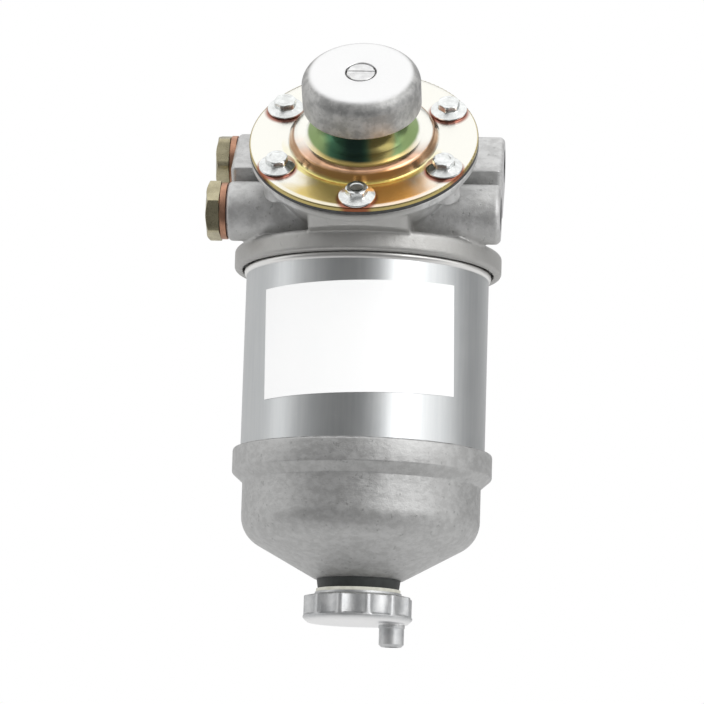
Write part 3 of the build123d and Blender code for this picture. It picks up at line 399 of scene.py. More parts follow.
def yellowZinc(name, look, screws):
    # passivated zinc: straw at the sides, orange and olive in front, rings of colour at each bend with painted
    # shade on the step, a green neck darkened by painted shade under the knob, and a painted dark red shadow under
    # each screw's flange
    material, graph, where = newMaterial(name)
    x, e, height, radius = alongPump(graph, where)
    drift = noise(graph, where, look["patch"], detail=2.0, distortion=0.8)
    shift = (drift - 0.5) * look["wander"]
    turn = graph.calc("ARCTAN2", x, e * -1.0).absolute() + (drift - 0.5) * 0.5
    half = math.radians(look["frontHalf"])
    front = 1 - turn.step(half - 0.25, half + 0.3)
    wide = 1 - turn.step(*look["wide"])
    deep = blend(graph, (x + shift * 3).step(*look["deepAcross"]), look["olive"], look["orange"])
    colour = blend(graph, front, look["straw"], deep)

    def ring(place, strength, tone):
        # a band of colour between two radii
        inner, outer, soft = look["rings"][place]
        wandering = radius + shift * 0.12
        band = wandering.band(inner - soft, inner + soft, outer - soft, outer + soft)
        return blend(graph, band * strength, colour, tone)

    colour = ring("groove", wide * 0.8, look["lime"])
    colour = ring("grooveLine", front * drift.step(0.35, 0.6) * 0.75, look["brown"])
    # the dark brown ring on the step is painted shade
    colour = ring("foot", 0.85, look["brown"])
    crestTone = blend(graph, drift.step(0.42, 0.62), look["rose"], look["roseDeep"])
    colour = ring("crest", wide * 0.9, crestTone)
    colour = ring("plateau", wide * 0.85, look["olive"])
    # the neck under the knob: green film with painted shade, darkest in the middle and paler to the sides
    aside = x + shift
    film = blend(graph, aside.band(*look["copperAcross"]) * 0.85, look["shadedMoss"], look["copper"])
    film = blend(graph, aside.band(*look["shadeAcross"]) * 0.8, film, look["shade"])
    film = blend(graph, aside.absolute().step(*look["palingAcross"]) * 0.85, film, look["paling"])
    colour = ring("neck", 1.0, film)
    roll = (radius - look["rolled"]).held(0.0, 1.0)
    colour = blend(graph, roll.step(0.2 * mm, 1.0 * mm) * 0.7, colour, look["straw"])
    atEdge = radius.step(look["edge"], look["edge"] + 0.5 * mm)
    colour = blend(graph, atEdge, colour, look["edgeTone"])
    # painted contact shadow, dark red, just below each screw's flange
    for number in range(screws["count"]):
        around = 2 * math.pi * number / screws["count"]
        acrossX = x - screws["radius"] * math.sin(around)
        acrossE = e + (screws["radius"] * math.cos(around) + screws["screwShadowDrop"])
        away = graph.calc("SQRT", acrossX * acrossX + acrossE * acrossE)
        screwShadow = 1 - away.step(screws["screwShadow"], screws["screwShadow"] + screws["screwShadowWidth"])
        colour = blend(graph, screwShadow * 0.9, colour, look["screwShadowTone"])
    haze = noise(graph, where, 2.4 * mm, detail=4.0)
    roughness = look["roughness"] + (haze - 0.5) * 0.1
    flat = look["crestEnd"] - look["crestFoot"]
    turned = look["crestOut"] - look["crestEnd"]
    rise = (radius - look["crestFoot"]).held(0.0, flat)
    fall = (radius - look["crestEnd"]).held(0.0, turned)
    crest = rise * rise * (0.5 / flat) + fall - fall * fall * (0.5 / turned)
    relief = roll * roll * (-0.5 / look["rollRadius"]) - crest * look["crestSlope"]
    normal = bumped(graph, relief, 1.0)
    normal = bumped(graph, noise(graph, where, 9 * mm, detail=1.0), 0.3 * mm, 0.3, under=normal)
    normal = bumped(graph, noise(graph, where, 0.35 * mm, detail=2.0), 0.01 * mm, 0.6, under=normal)
    dyed = front * (1 - (radius - look["rolled"]).step(0.0, 2 * mm)) * look["dyed"]
    finished(graph, {"Base Color": colour, "Metallic": 1 - dyed, "Roughness": roughness.clamped()},
             normal)
    return material


def brightZinc(name, tone, roughness):
    # bright plated steel with faint handling marks
    material, graph, where = newMaterial(name)
    haze = noise(graph, where, 2.5 * mm, detail=4.0)
    fine = noise(graph, where, 0.5 * mm, detail=2.0)
    colour = blend(graph, haze.step(0.35, 0.7), [c * 0.8 for c in tone], tone)
    rough = roughness + (haze - 0.5) * 0.16
    finished(graph, {"Base Color": colour, "Metallic": 1.0, "Roughness": rough.clamped()},
             bumped(graph, fine, 0.02 * mm, 0.6))
    return material


plugLook = dict(
    dull=(0.39, 0.35, 0.23),
    clean=(0.57, 0.52, 0.35),
    worn=(0.76, 0.72, 0.58),
    roughness=0.3,
)


def plugZinc(name, look):
    # thin olive-yellow passivation over steel, paler where it is worn
    material, graph, where = newMaterial(name)
    patch = noise(graph, where, 6 * mm, detail=3.0)
    fine = noise(graph, where, 0.6 * mm, detail=3.0)
    colour = blend(graph, patch.step(0.3, 0.7), look["dull"], look["clean"])
    colour = blend(graph, fine.step(0.55, 0.8) * 0.4, colour, look["worn"])
    rough = look["roughness"] + (fine - 0.5) * 0.2
    finished(graph, {"Base Color": colour, "Metallic": 1.0, "Roughness": rough.clamped()},
             bumped(graph, fine, 0.03 * mm, 0.6))
    return material


def plainSurface(name, tone, dark, roughness, grain, metal):
    # two tones and a fine grain: turned metal where metal is 1, rubber, fibre and card where it is 0
    material, graph, where = newMaterial(name)
    patch = noise(graph, where, grain * (8 if metal else 9), detail=3.0)
    fine = noise(graph, where, grain, detail=3.0 if metal else 4.0, roughness=0.55 if metal else 0.7)
    colour = blend(graph, patch.step(0.3, 0.7), dark, tone)
    rough = roughness + (fine - 0.5) * (0.2 if metal else 0.15)
    finished(graph, {"Base Color": colour, "Metallic": metal, "Roughness": rough.clamped()},
             bumped(graph, fine, 0.03 * mm, 0.7))
    return material


def labelPaper(name):
    # bare white coated paper
    material, graph, where = newMaterial(name)
    fibre = noise(graph, where, 0.35 * mm, detail=4.0, roughness=0.7)
    cloud = noise(graph, where, 12 * mm, detail=2.0)
    colour = blend(graph, cloud * 0.6 + fibre * 0.4, (0.94, 0.945, 0.95), (0.975, 0.975, 0.97))
    rough = 0.42 + (fibre - 0.5) * 0.2
    normal = bumped(graph, cloud, 0.12 * mm, 0.4)
    finished(graph, {"Base Color": colour, "Roughness": rough.clamped()},
             bumped(graph, fibre, 0.012 * mm, 0.7, under=normal))
    return material


bowlLook = dict(
    castLook,
    tone=(0.52, 0.52, 0.515), dark=(0.41, 0.41, 0.405), pale=(0.62, 0.62, 0.615),
    blotch=3.2 * mm, flat=1.5, cloudiness=0.45, pitting=0.4, relief=0.06 * mm, roughness=0.47,
)
knobLook = dict(
    castLook,
    tone=(0.45, 0.45, 0.44), dark=(0.33, 0.33, 0.325), pale=(0.58, 0.575, 0.565),
    blotch=4 * mm, cloudiness=0.75, pitting=0.3, relief=0.06 * mm, roughness=0.48,
)
capLook = dict(
    castLook,
    tone=(0.58, 0.59, 0.595), dark=(0.48, 0.49, 0.50), pale=(0.69, 0.69, 0.69), grain=0.9 * mm,
    blotch=5 * mm, cloudiness=0.55, pitting=0.1, relief=0.03 * mm, roughness=0.42,
)
metalLooks = {                 # name, tone, dark, roughness and grain
    "copper": ("copperWasher", (0.64, 0.35, 0.23), (0.44, 0.24, 0.16), 0.4, 0.5 * mm),
    "brass": ("brassTurned", (0.85, 0.68, 0.36), (0.74, 0.57, 0.27), 0.28, 0.4 * mm),
    "inner_steel": ("turnedSteel", (0.66, 0.66, 0.66), (0.54, 0.54, 0.54), 0.34, 0.5 * mm),
    "spring_steel": ("springSteel", (0.58, 0.58, 0.60), (0.42, 0.42, 0.44), 0.3, 0.3 * mm),
}
softLooks = {
    "black_rubber": ("blackRubber", (0.028, 0.032, 0.031), (0.018, 0.021, 0.02), 0.5, 0.4 * mm),
    "diaphragm_rubber": ("diaphragmRubber", (0.05, 0.05, 0.05), (0.03, 0.03, 0.03), 0.55, 0.3 * mm),
    "fibre_washer": ("fibreWasher", (0.80, 0.79, 0.70), (0.66, 0.65, 0.56), 0.5, 0.3 * mm),
    "filter_paper": ("filterPaper", (0.80, 0.70, 0.46), (0.70, 0.60, 0.38), 0.8, 0.5 * mm),
    "valve_disc": ("valveFibre", (0.28, 0.16, 0.10), (0.20, 0.11, 0.07), 0.6, 0.3 * mm),
}

materials = {
    "cast_head": castMetal("headCast", castLook, machined=milledFaces, darkened=headDarkAndShade),
    "cast_bowl": castMetal("bowlCast", bowlLook),
    "cast_knob": castMetal("knobCast", knobLook, machined=turnedLitTop, litHollow=knobHollowLight),
    "turned_cap": castMetal("capCast", capLook, machined=capFootLit),
    "bare_can": canSteel("canSteel", canLook),
    "yellow_zinc": yellowZinc("yellowZinc", zincLook, screwCircle),
    "bright_screws": brightZinc("brightZinc", (0.93, 0.95, 0.94), 0.2),
    "knob_screw": brightZinc("knobScrewSteel", (0.90, 0.90, 0.90), 0.3),
    "zinc_plugs": plugZinc("plugZinc", plugLook),
    "label_paper": labelPaper("labelPaper"),
}
for metal, looks in ((1.0, metalLooks), (0.0, softLooks)):
    for slotName, look in looks.items():
        materials[slotName] = plainSurface(*look, metal)
slotOf = {part["node"]: part["material_slot"] for part in frame["record"]["subparts"]}
for nodeName, node in nodes.items():
    node.data.materials.clear()
    node.data.materials.append(materials[slotOf[nodeName]])
print("materials made:", len(materials))


def linked(name, data):
    # a new object, in the scene
    made = bpy.data.objects.new(name, data)
    bpy.context.scene.collection.objects.link(made)
    return made


def newPiece(name, mesh, slot, body, replaced=()):
    piece = linked(name, mesh)
    mesh.name = name
    mesh.materials.clear()
    mesh.materials.append(materials[slot])
    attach(piece, body)
    if replaced:
        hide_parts(*replaced)
    return piece


def asMesh(carrier):
    view = bpy.context.evaluated_depsgraph_get()
    return bpy.data.meshes.new_from_object(carrier.evaluated_get(view))


def welded(mesh, outward=False):
    # the same mesh with its loose triangles joined, and its faces turned outward where asked
    work = bmesh.new()
    work.from_mesh(mesh)
    bmesh.ops.remove_doubles(work, verts=work.verts, dist=0.001 * mm)
    if outward:
        bmesh.ops.recalc_face_normals(work, faces=work.faces)
    work.to_mesh(mesh)
    work.free()
    return mesh


def joined(meshes):
    # several meshes as one
    work = bmesh.new()
    for mesh in meshes:
        work.from_mesh(mesh)
    result = bpy.data.meshes.new("joined")
    work.to_mesh(result)
    work.free()
    return result


def shaded(mesh, sharpAngle=32):
    mesh.shade_smooth()
    mesh.set_sharp_from_angle(angle=math.radians(sharpAngle))
    return mesh


def plainMesh(points, faces):
    mesh = bpy.data.meshes.new("shape")
    mesh.from_pydata([tuple(point) for point in points], [], faces)
    return mesh


def closedMesh(points, faces, sharpAngle=32):
    return shaded(welded(plainMesh(points, faces), outward=True), sharpAngle)


def onCircle(radius, angle, height):
    return Vector((radius * math.cos(angle), radius * math.sin(angle), height))


def fullTurn(steps):
    return [2 * math.pi * step / steps for step in range(steps)]


def gridFaces(rows, columns, first=0, closed=True, looped=False):
    # quads between rows of points; closed rows meet themselves, looped ones meet the first row again
    faces = []
    for row in range(rows if looped else rows - 1):
        low = first + row * columns
        high = first + (row + 1) % rows * columns
        for column in range(columns if closed else columns - 1):
            after = (column + 1) % columns
            faces.append((low + column, low + after, high + after, high + column))
    return faces


def softened(node, cast):
    # the solid's own shape with a casting's rounded edges and filled corners
    carrier = linked("carrier", welded(nodes[node].data.copy()))
    remesh = carrier.modifiers.new("remesh", "REMESH")
    remesh.mode = "VOXEL"
    remesh.voxel_size = cast["voxel"]
    smooth = carrier.modifiers.new("smooth", "SMOOTH")
    smooth.factor = 0.5
    smooth.iterations = cast["passes"]
    result = asMesh(carrier)
    if 2 * len(result.polygons) > cast["triangles"]:
        thin = carrier.modifiers.new("thin", "DECIMATE")
        thin.ratio = cast["triangles"] / (2 * len(result.polygons))
        result = asMesh(carrier)
    bpy.data.objects.remove(carrier)
    result.shade_smooth()
    return result


def edged(node, width, sharpAngle=28):
    # the solid's own shape with its sharp edges rounded off
    carrier = linked("carrier", welded(nodes[node].data.copy()))
    bevel = carrier.modifiers.new("bevel", "BEVEL")
    bevel.limit_method = "ANGLE"
    bevel.angle_limit = math.radians(sharpAngle)
    bevel.width = width
    bevel.segments = 3
    bevel.use_clamp_overlap = False
    bevel.harden_normals = True
    carrier.data.shade_smooth()
    result = asMesh(carrier)
    bpy.data.objects.remove(carrier)
    return result


# Castings and turned pieces that take the place of the plain solids
castHead = dict(
    voxel=0.5 * mm,
    passes=4,
    triangles=190000,
    grooveTop=-37.5 * mm,      # the groove's outer lip, up to here
    grooveIn=44.9 * mm,
    grooveOut=46.3 * mm,
    lipIn=0.8 * mm,            # is drawn in towards the bead
)
edgedPieces = {
    "sediment_bowl": dict(piece="bowlCasting", body="filter", edge=0.45 * mm),
    "pump_knob": dict(piece="knobCasting", body="pump_knob", edge=0.35 * mm),
}
headMesh = softened("filter_head", castHead)
for vertex in headMesh.vertices:
    out = Vector((vertex.co.x, vertex.co.y - columnY))
    inLip = castHead["grooveIn"] < out.length < castHead["grooveOut"]
    if inLip and vertex.co.z < castHead["grooveTop"]:
        vertex.co.xy -= out.normalized() * castHead["lipIn"]
newPiece("headCasting", headMesh, "cast_head", "filter", ["filter_head"])
print("head casting:", len(headMesh.polygons), "faces")
for nodeName, look in edgedPieces.items():
    mesh = edged(nodeName, look["edge"])
    newPiece(look["piece"], mesh, slotOf[nodeName], look["body"], [nodeName])
    print(look["piece"], len(mesh.polygons), "faces")


hexagon = dict(sides=6, perSide=12, cornerRound=0.25 * mm)


def hexagonHead(flats, height, cornerCut, rim, dish=None):
    # rings round a hexagon whose corners are turned off, from its foot at z = 0 to its top
    sides, perSide = hexagon["sides"], hexagon["perSide"]
    reach = flats / 2
    corner = reach / math.cos(math.pi / sides)
    slope = cornerCut / (corner - reach)
    radii = []
    for step in range(sides * perSide):
        off = (step % perSide) / perSide * 2 * math.pi / sides - math.pi / sides
        radii.append(min(reach / math.cos(off), corner - hexagon["cornerRound"]))
    rings = [
        [(r, 0.0) for r in radii],
        [(r, height - (r - reach) * slope - 0.12 * mm) for r in radii],
        [(r - 0.1 * mm, height - (r - reach) * slope) for r in radii],
        (reach - rim, height),
    ]
    if dish:
        radius, depth = dish
        rings += [(radius + 0.12 * mm, height), (radius, height - 0.08 * mm),
                  (radius * 0.62, height - depth)]
    return fullTurn(len(radii)), rings


def ringMesh(angles, rings, place, sharpAngle=30):
    # a closed shape from rings; a ring is one (radius, height), or a list with one for each angle
    points = []
    for ring in rings:
        pairs = ring if isinstance(ring, list) else [ring] * len(angles)
        for angle, (radius, height) in zip(angles, pairs):
            points.append(place @ onCircle(radius, angle, height))
    faces = gridFaces(len(rings), len(angles))
    faces.append(tuple(range(len(angles))))
    faces.append(tuple(range(len(points) - len(angles), len(points))))
    return closedMesh(points, faces, sharpAngle)


# Slotted screw in the knob's top, its head a little wider than the solid's and its slot shallower
knobScrewSet = dict(
    headFoot=29.3 * mm,
    slotFloor=30.0 * mm,
    widen=1.06,
    slotRise=0.7 * mm,
    edge=0.2 * mm,
)


def knobScrewMesh(screw):
    toPump = pumpPlace.inverted()
    mesh = edged("knob_screw", screw["edge"])
    for vertex in mesh.vertices:
        local = toPump @ vertex.co
        if local.z > screw["headFoot"]:
            local.xy *= screw["widen"]
        if abs(local.z - screw["slotFloor"]) < 0.1 * mm:
            local.z += screw["slotRise"]
        vertex.co = pumpPlace @ local
    return mesh


newPiece("knobScrew", knobScrewMesh(knobScrewSet), "knob_screw", "pump_knob", ["knob_screw"])

# Fluted cap with its drain stub
capSet = dict(
    radius=19.3 * mm,
    height=faceLook["capHeight"],
    chamfer=1.5 * mm,
    rim=2.4 * mm,              # the flutes stop this far above the foot
    flutes=12,
    fluteRadius=7.6 * mm,
    fluteDepth=1.75 * mm,
    ridge=5.0 / mm,            # the higher, the sharper the ridges
    collar=15.3 * mm,
    collarHeight=0.7 * mm,
    stub=4.4 * mm,
    stubCollar=4.65 * mm,
    stubCollarHeight=1.6 * mm,
    stubChamfer=0.8 * mm,
    stubBore=2.5 * mm,
    steps=432,
)


def capMesh(cap):
    low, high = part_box("drain_cap")
    foot = high.z - cap["height"]
    reach = cap["radius"] - cap["fluteDepth"] + cap["fluteRadius"]

    def fluted(angle):
        # the flute's wall and the full radius, joined by a soft ridge
        each = 2 * math.pi / cap["flutes"]
        off = (angle + math.pi / 2 + each / 2) % each - each / 2
        inside = cap["fluteRadius"] ** 2 - (reach * math.sin(off)) ** 2
        wall = reach * math.cos(off) - math.sqrt(max(inside, 0.0))
        lower = min(wall, cap["radius"])
        spread = sum(math.exp(-cap["ridge"] * (edge - lower)) for edge in (wall, cap["radius"]))
        return lower - math.log(spread) / cap["ridge"]

    angles = fullTurn(cap["steps"])
    walls = [fluted(angle) for angle in angles]
    top = cap["height"] - 2 * cap["collarHeight"]
    full = cap["radius"]
    rings = [
        (full - cap["chamfer"] - 0.3 * mm, 0.0),
        (full - cap["chamfer"], 0.1 * mm),
        (full - 0.15 * mm, cap["chamfer"] - 0.1 * mm),
        (full, cap["chamfer"] + 0.15 * mm),
        (full, cap["rim"] - 0.25 * mm),
        [((wall + 2 * full) / 3, cap["rim"]) for wall in walls],
        [(wall, cap["rim"] + 0.5 * mm) for wall in walls],
        [(wall, top - 0.4 * mm) for wall in walls],
        [(wall - 0.15 * mm, top - 0.1 * mm) for wall in walls],
        [(wall - 0.5 * mm, top) for wall in walls],
        (cap["collar"] + 0.1 * mm, cap["height"] - cap["collarHeight"]),
        (cap["collar"], cap["height"]),
    ]
    corners = [vertex.co for vertex in nodes["drain_cap"].data.vertices]
    lowest = [corner for corner in corners if corner.z < low.z + 0.05 * mm]
    middle = sum(lowest, Vector()) / len(lowest)
    drop = foot - low.z
    ends = [
        (cap["stubCollar"], 0.5 * mm),
        (cap["stubCollar"], 0.2 * mm - cap["stubCollarHeight"]),
        (cap["stub"], -cap["stubCollarHeight"]),
        (cap["stub"], cap["stubChamfer"] - drop),
        (cap["stub"] - cap["stubChamfer"], -drop),
        (cap["stubBore"], -drop),
        (cap["stubBore"], 0.4 * mm),
    ]
    cover = ringMesh(angles, rings, Matrix.Translation((0, columnY, foot)), 40)
    stub = ringMesh(angles[::6], ends, Matrix.Translation((middle.x, middle.y, foot)))
    return shaded(joined([cover, stub]), 40)


newPiece("capCasting", capMesh(capSet), "turned_cap", "drain_cap", ["drain_cap"])
print("cap fluted")


def newTree(name, wanted):
    # an empty geometry tree with named inputs, and its inputs and output as wires
    tree = bpy.data.node_groups.new(name, "GeometryNodeTree")
    tree.interface.new_socket("Geometry", in_out="OUTPUT", socket_type="NodeSocketGeometry")
    for label, kind in wanted.items():
        tree.interface.new_socket(label, in_out="INPUT", socket_type="NodeSocket" + kind)
    entry = tree.nodes.new("NodeGroupInput")
    inputs = {label: Wire(tree, entry.outputs[label]) for label in wanted}
    return tree, Wire(tree), inputs, tree.nodes.new("NodeGroupOutput").inputs[0]


def closeTree(start, geometry, material, output):
    # every tree ends in real geometry with its material
    real = start.node("GeometryNodeRealizeInstances", sockets={"Geometry": geometry})
    dressed = start.node("GeometryNodeSetMaterial", sockets={"Geometry": real, "Material": material})
    start.tree.links.new(dressed.socket, output)


def grown(name, tree, values, place, slot, body, replaced):
    # runs a tree on an empty mesh and keeps the result as a plain piece
    carrier = linked("carrier", bpy.data.meshes.new("carrier"))
    modifier = carrier.modifiers.new("tree", "NODES")
    modifier.node_group = tree
    for item in tree.interface.items_tree:
        if item.in_out == "INPUT":
            modifier[item.identifier] = values[item.name]
    mesh = asMesh(carrier)
    carrier.modifiers.clear()
    bpy.data.objects.remove(carrier)
    mesh.transform(place)
    return newPiece(name, mesh, slot, body, replaced)


# Cover screws: flange screws with a dished hexagon, set round the rim
screwSet = dict(
    count=screwCircle["count"],
    circle=screwCircle["radius"],
    seat=2.7 * mm,             # top of the cover's rim above the slanted face
    flats=7.2 * mm,
    headHeight=4.1 * mm,
    cornerCut=0.5 * mm,
    rim=0.35 * mm,
    flange=6.4 * mm,
    flangeEdge=0.8 * mm,
    coneHeight=1.7 * mm,
    dish=2.3 * mm,
    dishDepth=0.14 * mm,
    shank=2.05 * mm,
    length=10.0 * mm,
    seed=11,
)


def screwMesh(screw):
    # one screw standing on the origin: shank, coned flange and dished hexagon
    angles, head = hexagonHead(screw["flats"], screw["headHeight"], screw["cornerCut"], screw["rim"],
                               (screw["dish"], screw["dishDepth"]))
    rings = [
        (screw["shank"] - 0.4 * mm, -screw["length"]),
        (screw["shank"], 0.4 * mm - screw["length"]),
        (screw["shank"], 0.0),
        (screw["flange"] - 0.2 * mm, 0.0),
        (screw["flange"], 0.2 * mm),
        (screw["flange"], screw["flangeEdge"] - 0.3 * mm),
        (screw["flange"] - 0.12 * mm, screw["flangeEdge"] - 0.05 * mm),
        (screw["flange"] - 0.45 * mm, screw["flangeEdge"] + 0.1 * mm),
        [(r + 0.3 * mm, screw["coneHeight"]) for r, h in head[0]],
        [(r, screw["coneHeight"] + 0.2 * mm) for r, h in head[0]],
    ]
    return ringMesh(angles, rings + head[1:], Matrix.Identity(4))


def screwTree(shape, material):
    # points on a circle, one screw on each, turned a little at random
    tree, start, inputs, output = newTree(
        "screwRing", {"Count": "Int", "Circle": "Float", "Seat": "Float", "Seed": "Int"})
    circle = start.node("GeometryNodeMeshCircle", {"fill_type": "NONE"},
                        {"Vertices": inputs["Count"], "Radius": inputs["Circle"]})
    lift = start.node("ShaderNodeCombineXYZ", sockets={"Z": inputs["Seat"]})
    moved = start.node("GeometryNodeTransform", sockets={"Geometry": circle, "Translation": lift})
    turn = start.node("FunctionNodeRandomValue", {"data_type": "FLOAT"},
                      {"Min": 0.0, "Max": math.pi / 3, "Seed": inputs["Seed"]}, out=1)
    spin = start.node("ShaderNodeCombineXYZ", sockets={"Z": turn})
    item = start.node("GeometryNodeObjectInfo", sockets={"Object": shape}, out="Geometry")
    placed = start.node("GeometryNodeInstanceOnPoints",
                        sockets={"Points": moved, "Instance": item, "Rotation": spin})
    closeTree(start, placed, material, output)
    return tree


screwShape = bpy.data.objects.new("screwShape", screwMesh(screwSet))
grown(
    "coverScrews",
    screwTree(screwShape, materials["bright_screws"]),
    {"Count": screwSet["count"], "Circle": screwSet["circle"], "Seat": screwSet["seat"],
     "Seed": screwSet["seed"]},
    pumpPlace @ Matrix.Rotation(-math.pi / 2, 4, "Z"),
    "bright_screws", "filter", ["cover_screws"],
)
bpy.data.objects.remove(screwShape)
print("cover screws placed")

# Return spring under the knob
springSet = dict(
    foot=15.8 * mm,            # middle of the wire at the spring's foot, above the slanted face
    height=11.8 * mm,
    anchor=15.2 * mm,
    keep=0.46,                 # what is left of its length at full stroke
    radius=9.2 * mm,
    wire=0.6 * mm,
    turns=3.5,
)


def springTree(material):
    tree, start, inputs, output = newTree(
        "coil", {"Turns": "Float", "Radius": "Float", "Height": "Float", "Wire": "Float"})
    coil = start.node("GeometryNodeCurveSpiral", sockets={
        "Resolution": 48, "Rotations": inputs["Turns"], "Start Radius": inputs["Radius"],
        "End Radius": inputs["Radius"], "Height": inputs["Height"]})
    profile = start.node("GeometryNodeCurvePrimitiveCircle",
                         sockets={"Resolution": 14, "Radius": inputs["Wire"]})
    wire = start.node("GeometryNodeCurveToMesh", sockets={
        "Curve": coil, "Profile Curve": profile, "Fill Caps": True})
    smooth = start.node("GeometryNodeSetShadeSmooth", sockets={"Geometry": wire})
    closeTree(start, smooth, material, output)
    return tree


spring = grown(
    "knobSpring",
    springTree(materials["spring_steel"]),
    {"Turns": springSet["turns"], "Radius": springSet["radius"], "Height": springSet["height"],
     "Wire": springSet["wire"]},
    pumpPlace @ Matrix.Translation((0, 0, springSet["foot"])),
    "spring_steel", "filter", ["knob_spring"],
)
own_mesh(spring)
print("knob spring wound")

# Leaf springs of the two valves
for valveName in ("inlet", "outlet"):
    mesh = shaded(welded(nodes[valveName + "_valve_spring"].data.copy()))
    leaf = newPiece(valveName + "ValveSpring", mesh, "spring_steel", "filter",
                    [valveName + "_valve_spring"])
    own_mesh(leaf)
print("valve springs set")

# Diaphragm: the clamped rim and half of its fold stay with the head, the middle goes with the plunger
diaphragmSet = dict(
    bore=3.2 * mm,
    foldIn=19.0 * mm,
    crest=21.8 * mm,
    foldOut=24.6 * mm,
    rim=40.0 * mm,
    thickness=1.2 * mm,
    rise=1.3 * mm,
    foldSteps=10,
    turnSteps=144,
)


def diaphragmMesh(sheet, flatEnd, foldEnd):
    # a closed ring from the flat's free edge to the fold's crest
    outline = [(flatEnd, 0.0)]
    for step in range(sheet["foldSteps"] + 1):
        share = step / sheet["foldSteps"]
        height = sheet["rise"] * math.sin(share * math.pi / 2)
        outline.append((foldEnd + (sheet["crest"] - foldEnd) * share, height))
    outline += [(radius, height + sheet["thickness"]) for radius, height in reversed(outline)]
    points = [pumpPlace @ onCircle(radius, angle, height)
              for angle in fullTurn(sheet["turnSteps"]) for radius, height in outline]
    return closedMesh(points, gridFaces(sheet["turnSteps"], len(outline), looped=True))


rimMesh = diaphragmMesh(diaphragmSet, diaphragmSet["rim"], diaphragmSet["foldOut"])
newPiece("diaphragmRim", rimMesh, slotOf["pump_diaphragm"], "filter", ["pump_diaphragm"])
middleMesh = diaphragmMesh(diaphragmSet, diaphragmSet["bore"], diaphragmSet["foldIn"])
newPiece("diaphragmMiddle", middleMesh, slotOf["pump_diaphragm"], "pump_knob", ["pump_diaphragm"])
print("diaphragm laid in")

# Port plugs on the left
plugSet = dict(
    seatX=-50.0 * mm,
    flats=19.0 * mm,
    headHeight=5.0 * mm,
    cornerCut=0.9 * mm,
    rim=1.2 * mm,
    shank=6.2 * mm,
    shankLength=12.0 * mm,
    turns=dict(upper_port=-16.8, lower_port=8.2),
)


def plugMesh(plug, port, turn):
    angles, head = hexagonHead(plug["flats"], plug["headHeight"], plug["cornerCut"], plug["rim"])
    rings = [
        (plug["shank"] - 0.8 * mm, -plug["shankLength"]),
        (plug["shank"], 0.8 * mm - plug["shankLength"]),
        (plug["shank"], 0.0),
        (plug["flats"] / 2 - 0.3 * mm, 0.0),
        [(r, 0.3 * mm) for r, h in head[0]],
    ]
    centre = Vector((plug["seatX"], *mounts[port]["pos_m"][1:]))
    facing = turnedTo(Vector((0, -1, 0)), Vector((0, 0, 1)), -rightward)
    spin = Matrix.Rotation(math.radians(turn), 4, "Z")
    return ringMesh(angles, rings + head[1:], Matrix.Translation(centre) @ facing @ spin)


plugPair = joined([plugMesh(plugSet, port, turn) for port, turn in plugSet["turns"].items()])
newPiece("portPlugs", shaded(plugPair, 30), "zinc_plugs", "filter", ["port_plugs"])
print("plugs turned")

# Bare label on the canister
labelSet = dict(
    arc=98.0,                  # degrees round the canister
    thickness=0.2 * mm,
    gap=0.03 * mm,
    bead=0.8 * mm,             # how far the canister's bead stands out past its wall
    edgeLift=0.05 * mm,
    liftFrom=0.93,             # share of the half width or height where the edge begins to lift
    askew=1.8,                 # degrees that it was stuck on out of true
    columns=96,
    rows=40,
)


def labelMesh(label):
    low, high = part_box("label_sheet")
    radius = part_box("element_can")[1].x - label["bead"] + label["gap"]
    halfWidth = radius * math.radians(label["arc"]) / 2
    halfHeight = (high.z - low.z) / 2
    columns, rows = label["columns"], label["rows"]
    askew = math.radians(label["askew"])
    points = []
    for layer in range(2):
        for row in range(rows + 1):
            for column in range(columns + 1):
                u = column / columns * 2 - 1
                v = row / rows * 2 - 1
                across = u * halfWidth * math.cos(askew) - v * halfHeight * math.sin(askew)
                height = u * halfWidth * math.sin(askew) + v * halfHeight * math.cos(askew)
                height += (low.z + high.z) / 2
                outer = max(0.0, max(abs(u), abs(v)) - label["liftFrom"]) / (1 - label["liftFrom"])
                reach = radius + label["edgeLift"] * outer ** 2 + layer * label["thickness"]
                angle = -math.pi / 2 + across / radius
                points.append(onCircle(reach, angle, height) + Vector((0, columnY, 0)))
    stride = columns + 1
    layerCount = stride * (rows + 1)
    faces = []
    for first in (0, layerCount):
        faces += gridFaces(rows + 1, stride, first, closed=False)
    border = [(row * stride + column, stride) for row in range(rows) for column in (0, columns)]
    border += [(row * stride + column, 1) for column in range(columns) for row in (0, rows)]
    for first, ahead in border:
        faces.append((first, first + ahead, first + ahead + layerCount, first + layerCount))
    return closedMesh(points, faces)


newPiece("labelSheet", labelMesh(labelSet), "label_paper", "filter", ["label_sheet"])
print("label laid on")

# Threads in the two open ports
threadSet = dict(root=6.22 * mm, crest=5.65 * mm, pitch=1.5 * mm, turnSteps=60, rowsPerPitch=8)


def threadMesh(thread, port):
    centre = Vector(mounts[port]["pos_m"])
    length = mounts[port]["dims"]["length_mm"] * mm
    rows = int(length / thread["pitch"] * thread["rowsPerPitch"])
    steps = thread["turnSteps"]
    points = []
    for row in range(rows + 1):
        along = (row / rows - 0.5) * length
        for step, angle in enumerate(fullTurn(steps)):
            phase = (along / thread["pitch"] - step / steps) % 1.0
            ridge = max(0.0, 1 - abs(phase - 0.5) * 2.4)
            radius = thread["root"] - (thread["root"] - thread["crest"]) * min(1.0, ridge * 1.25)
            points.append(centre + Vector((along, radius * math.cos(angle), radius * math.sin(angle))))
    mesh = plainMesh(points, gridFaces(rows + 1, steps))
    mesh.shade_smooth()
    return mesh


for port in ("upper_port", "lower_port"):
    newPiece(port.split("_")[0] + "PortThread", threadMesh(threadSet, port), "inner_steel", "filter")
print("threads cut")

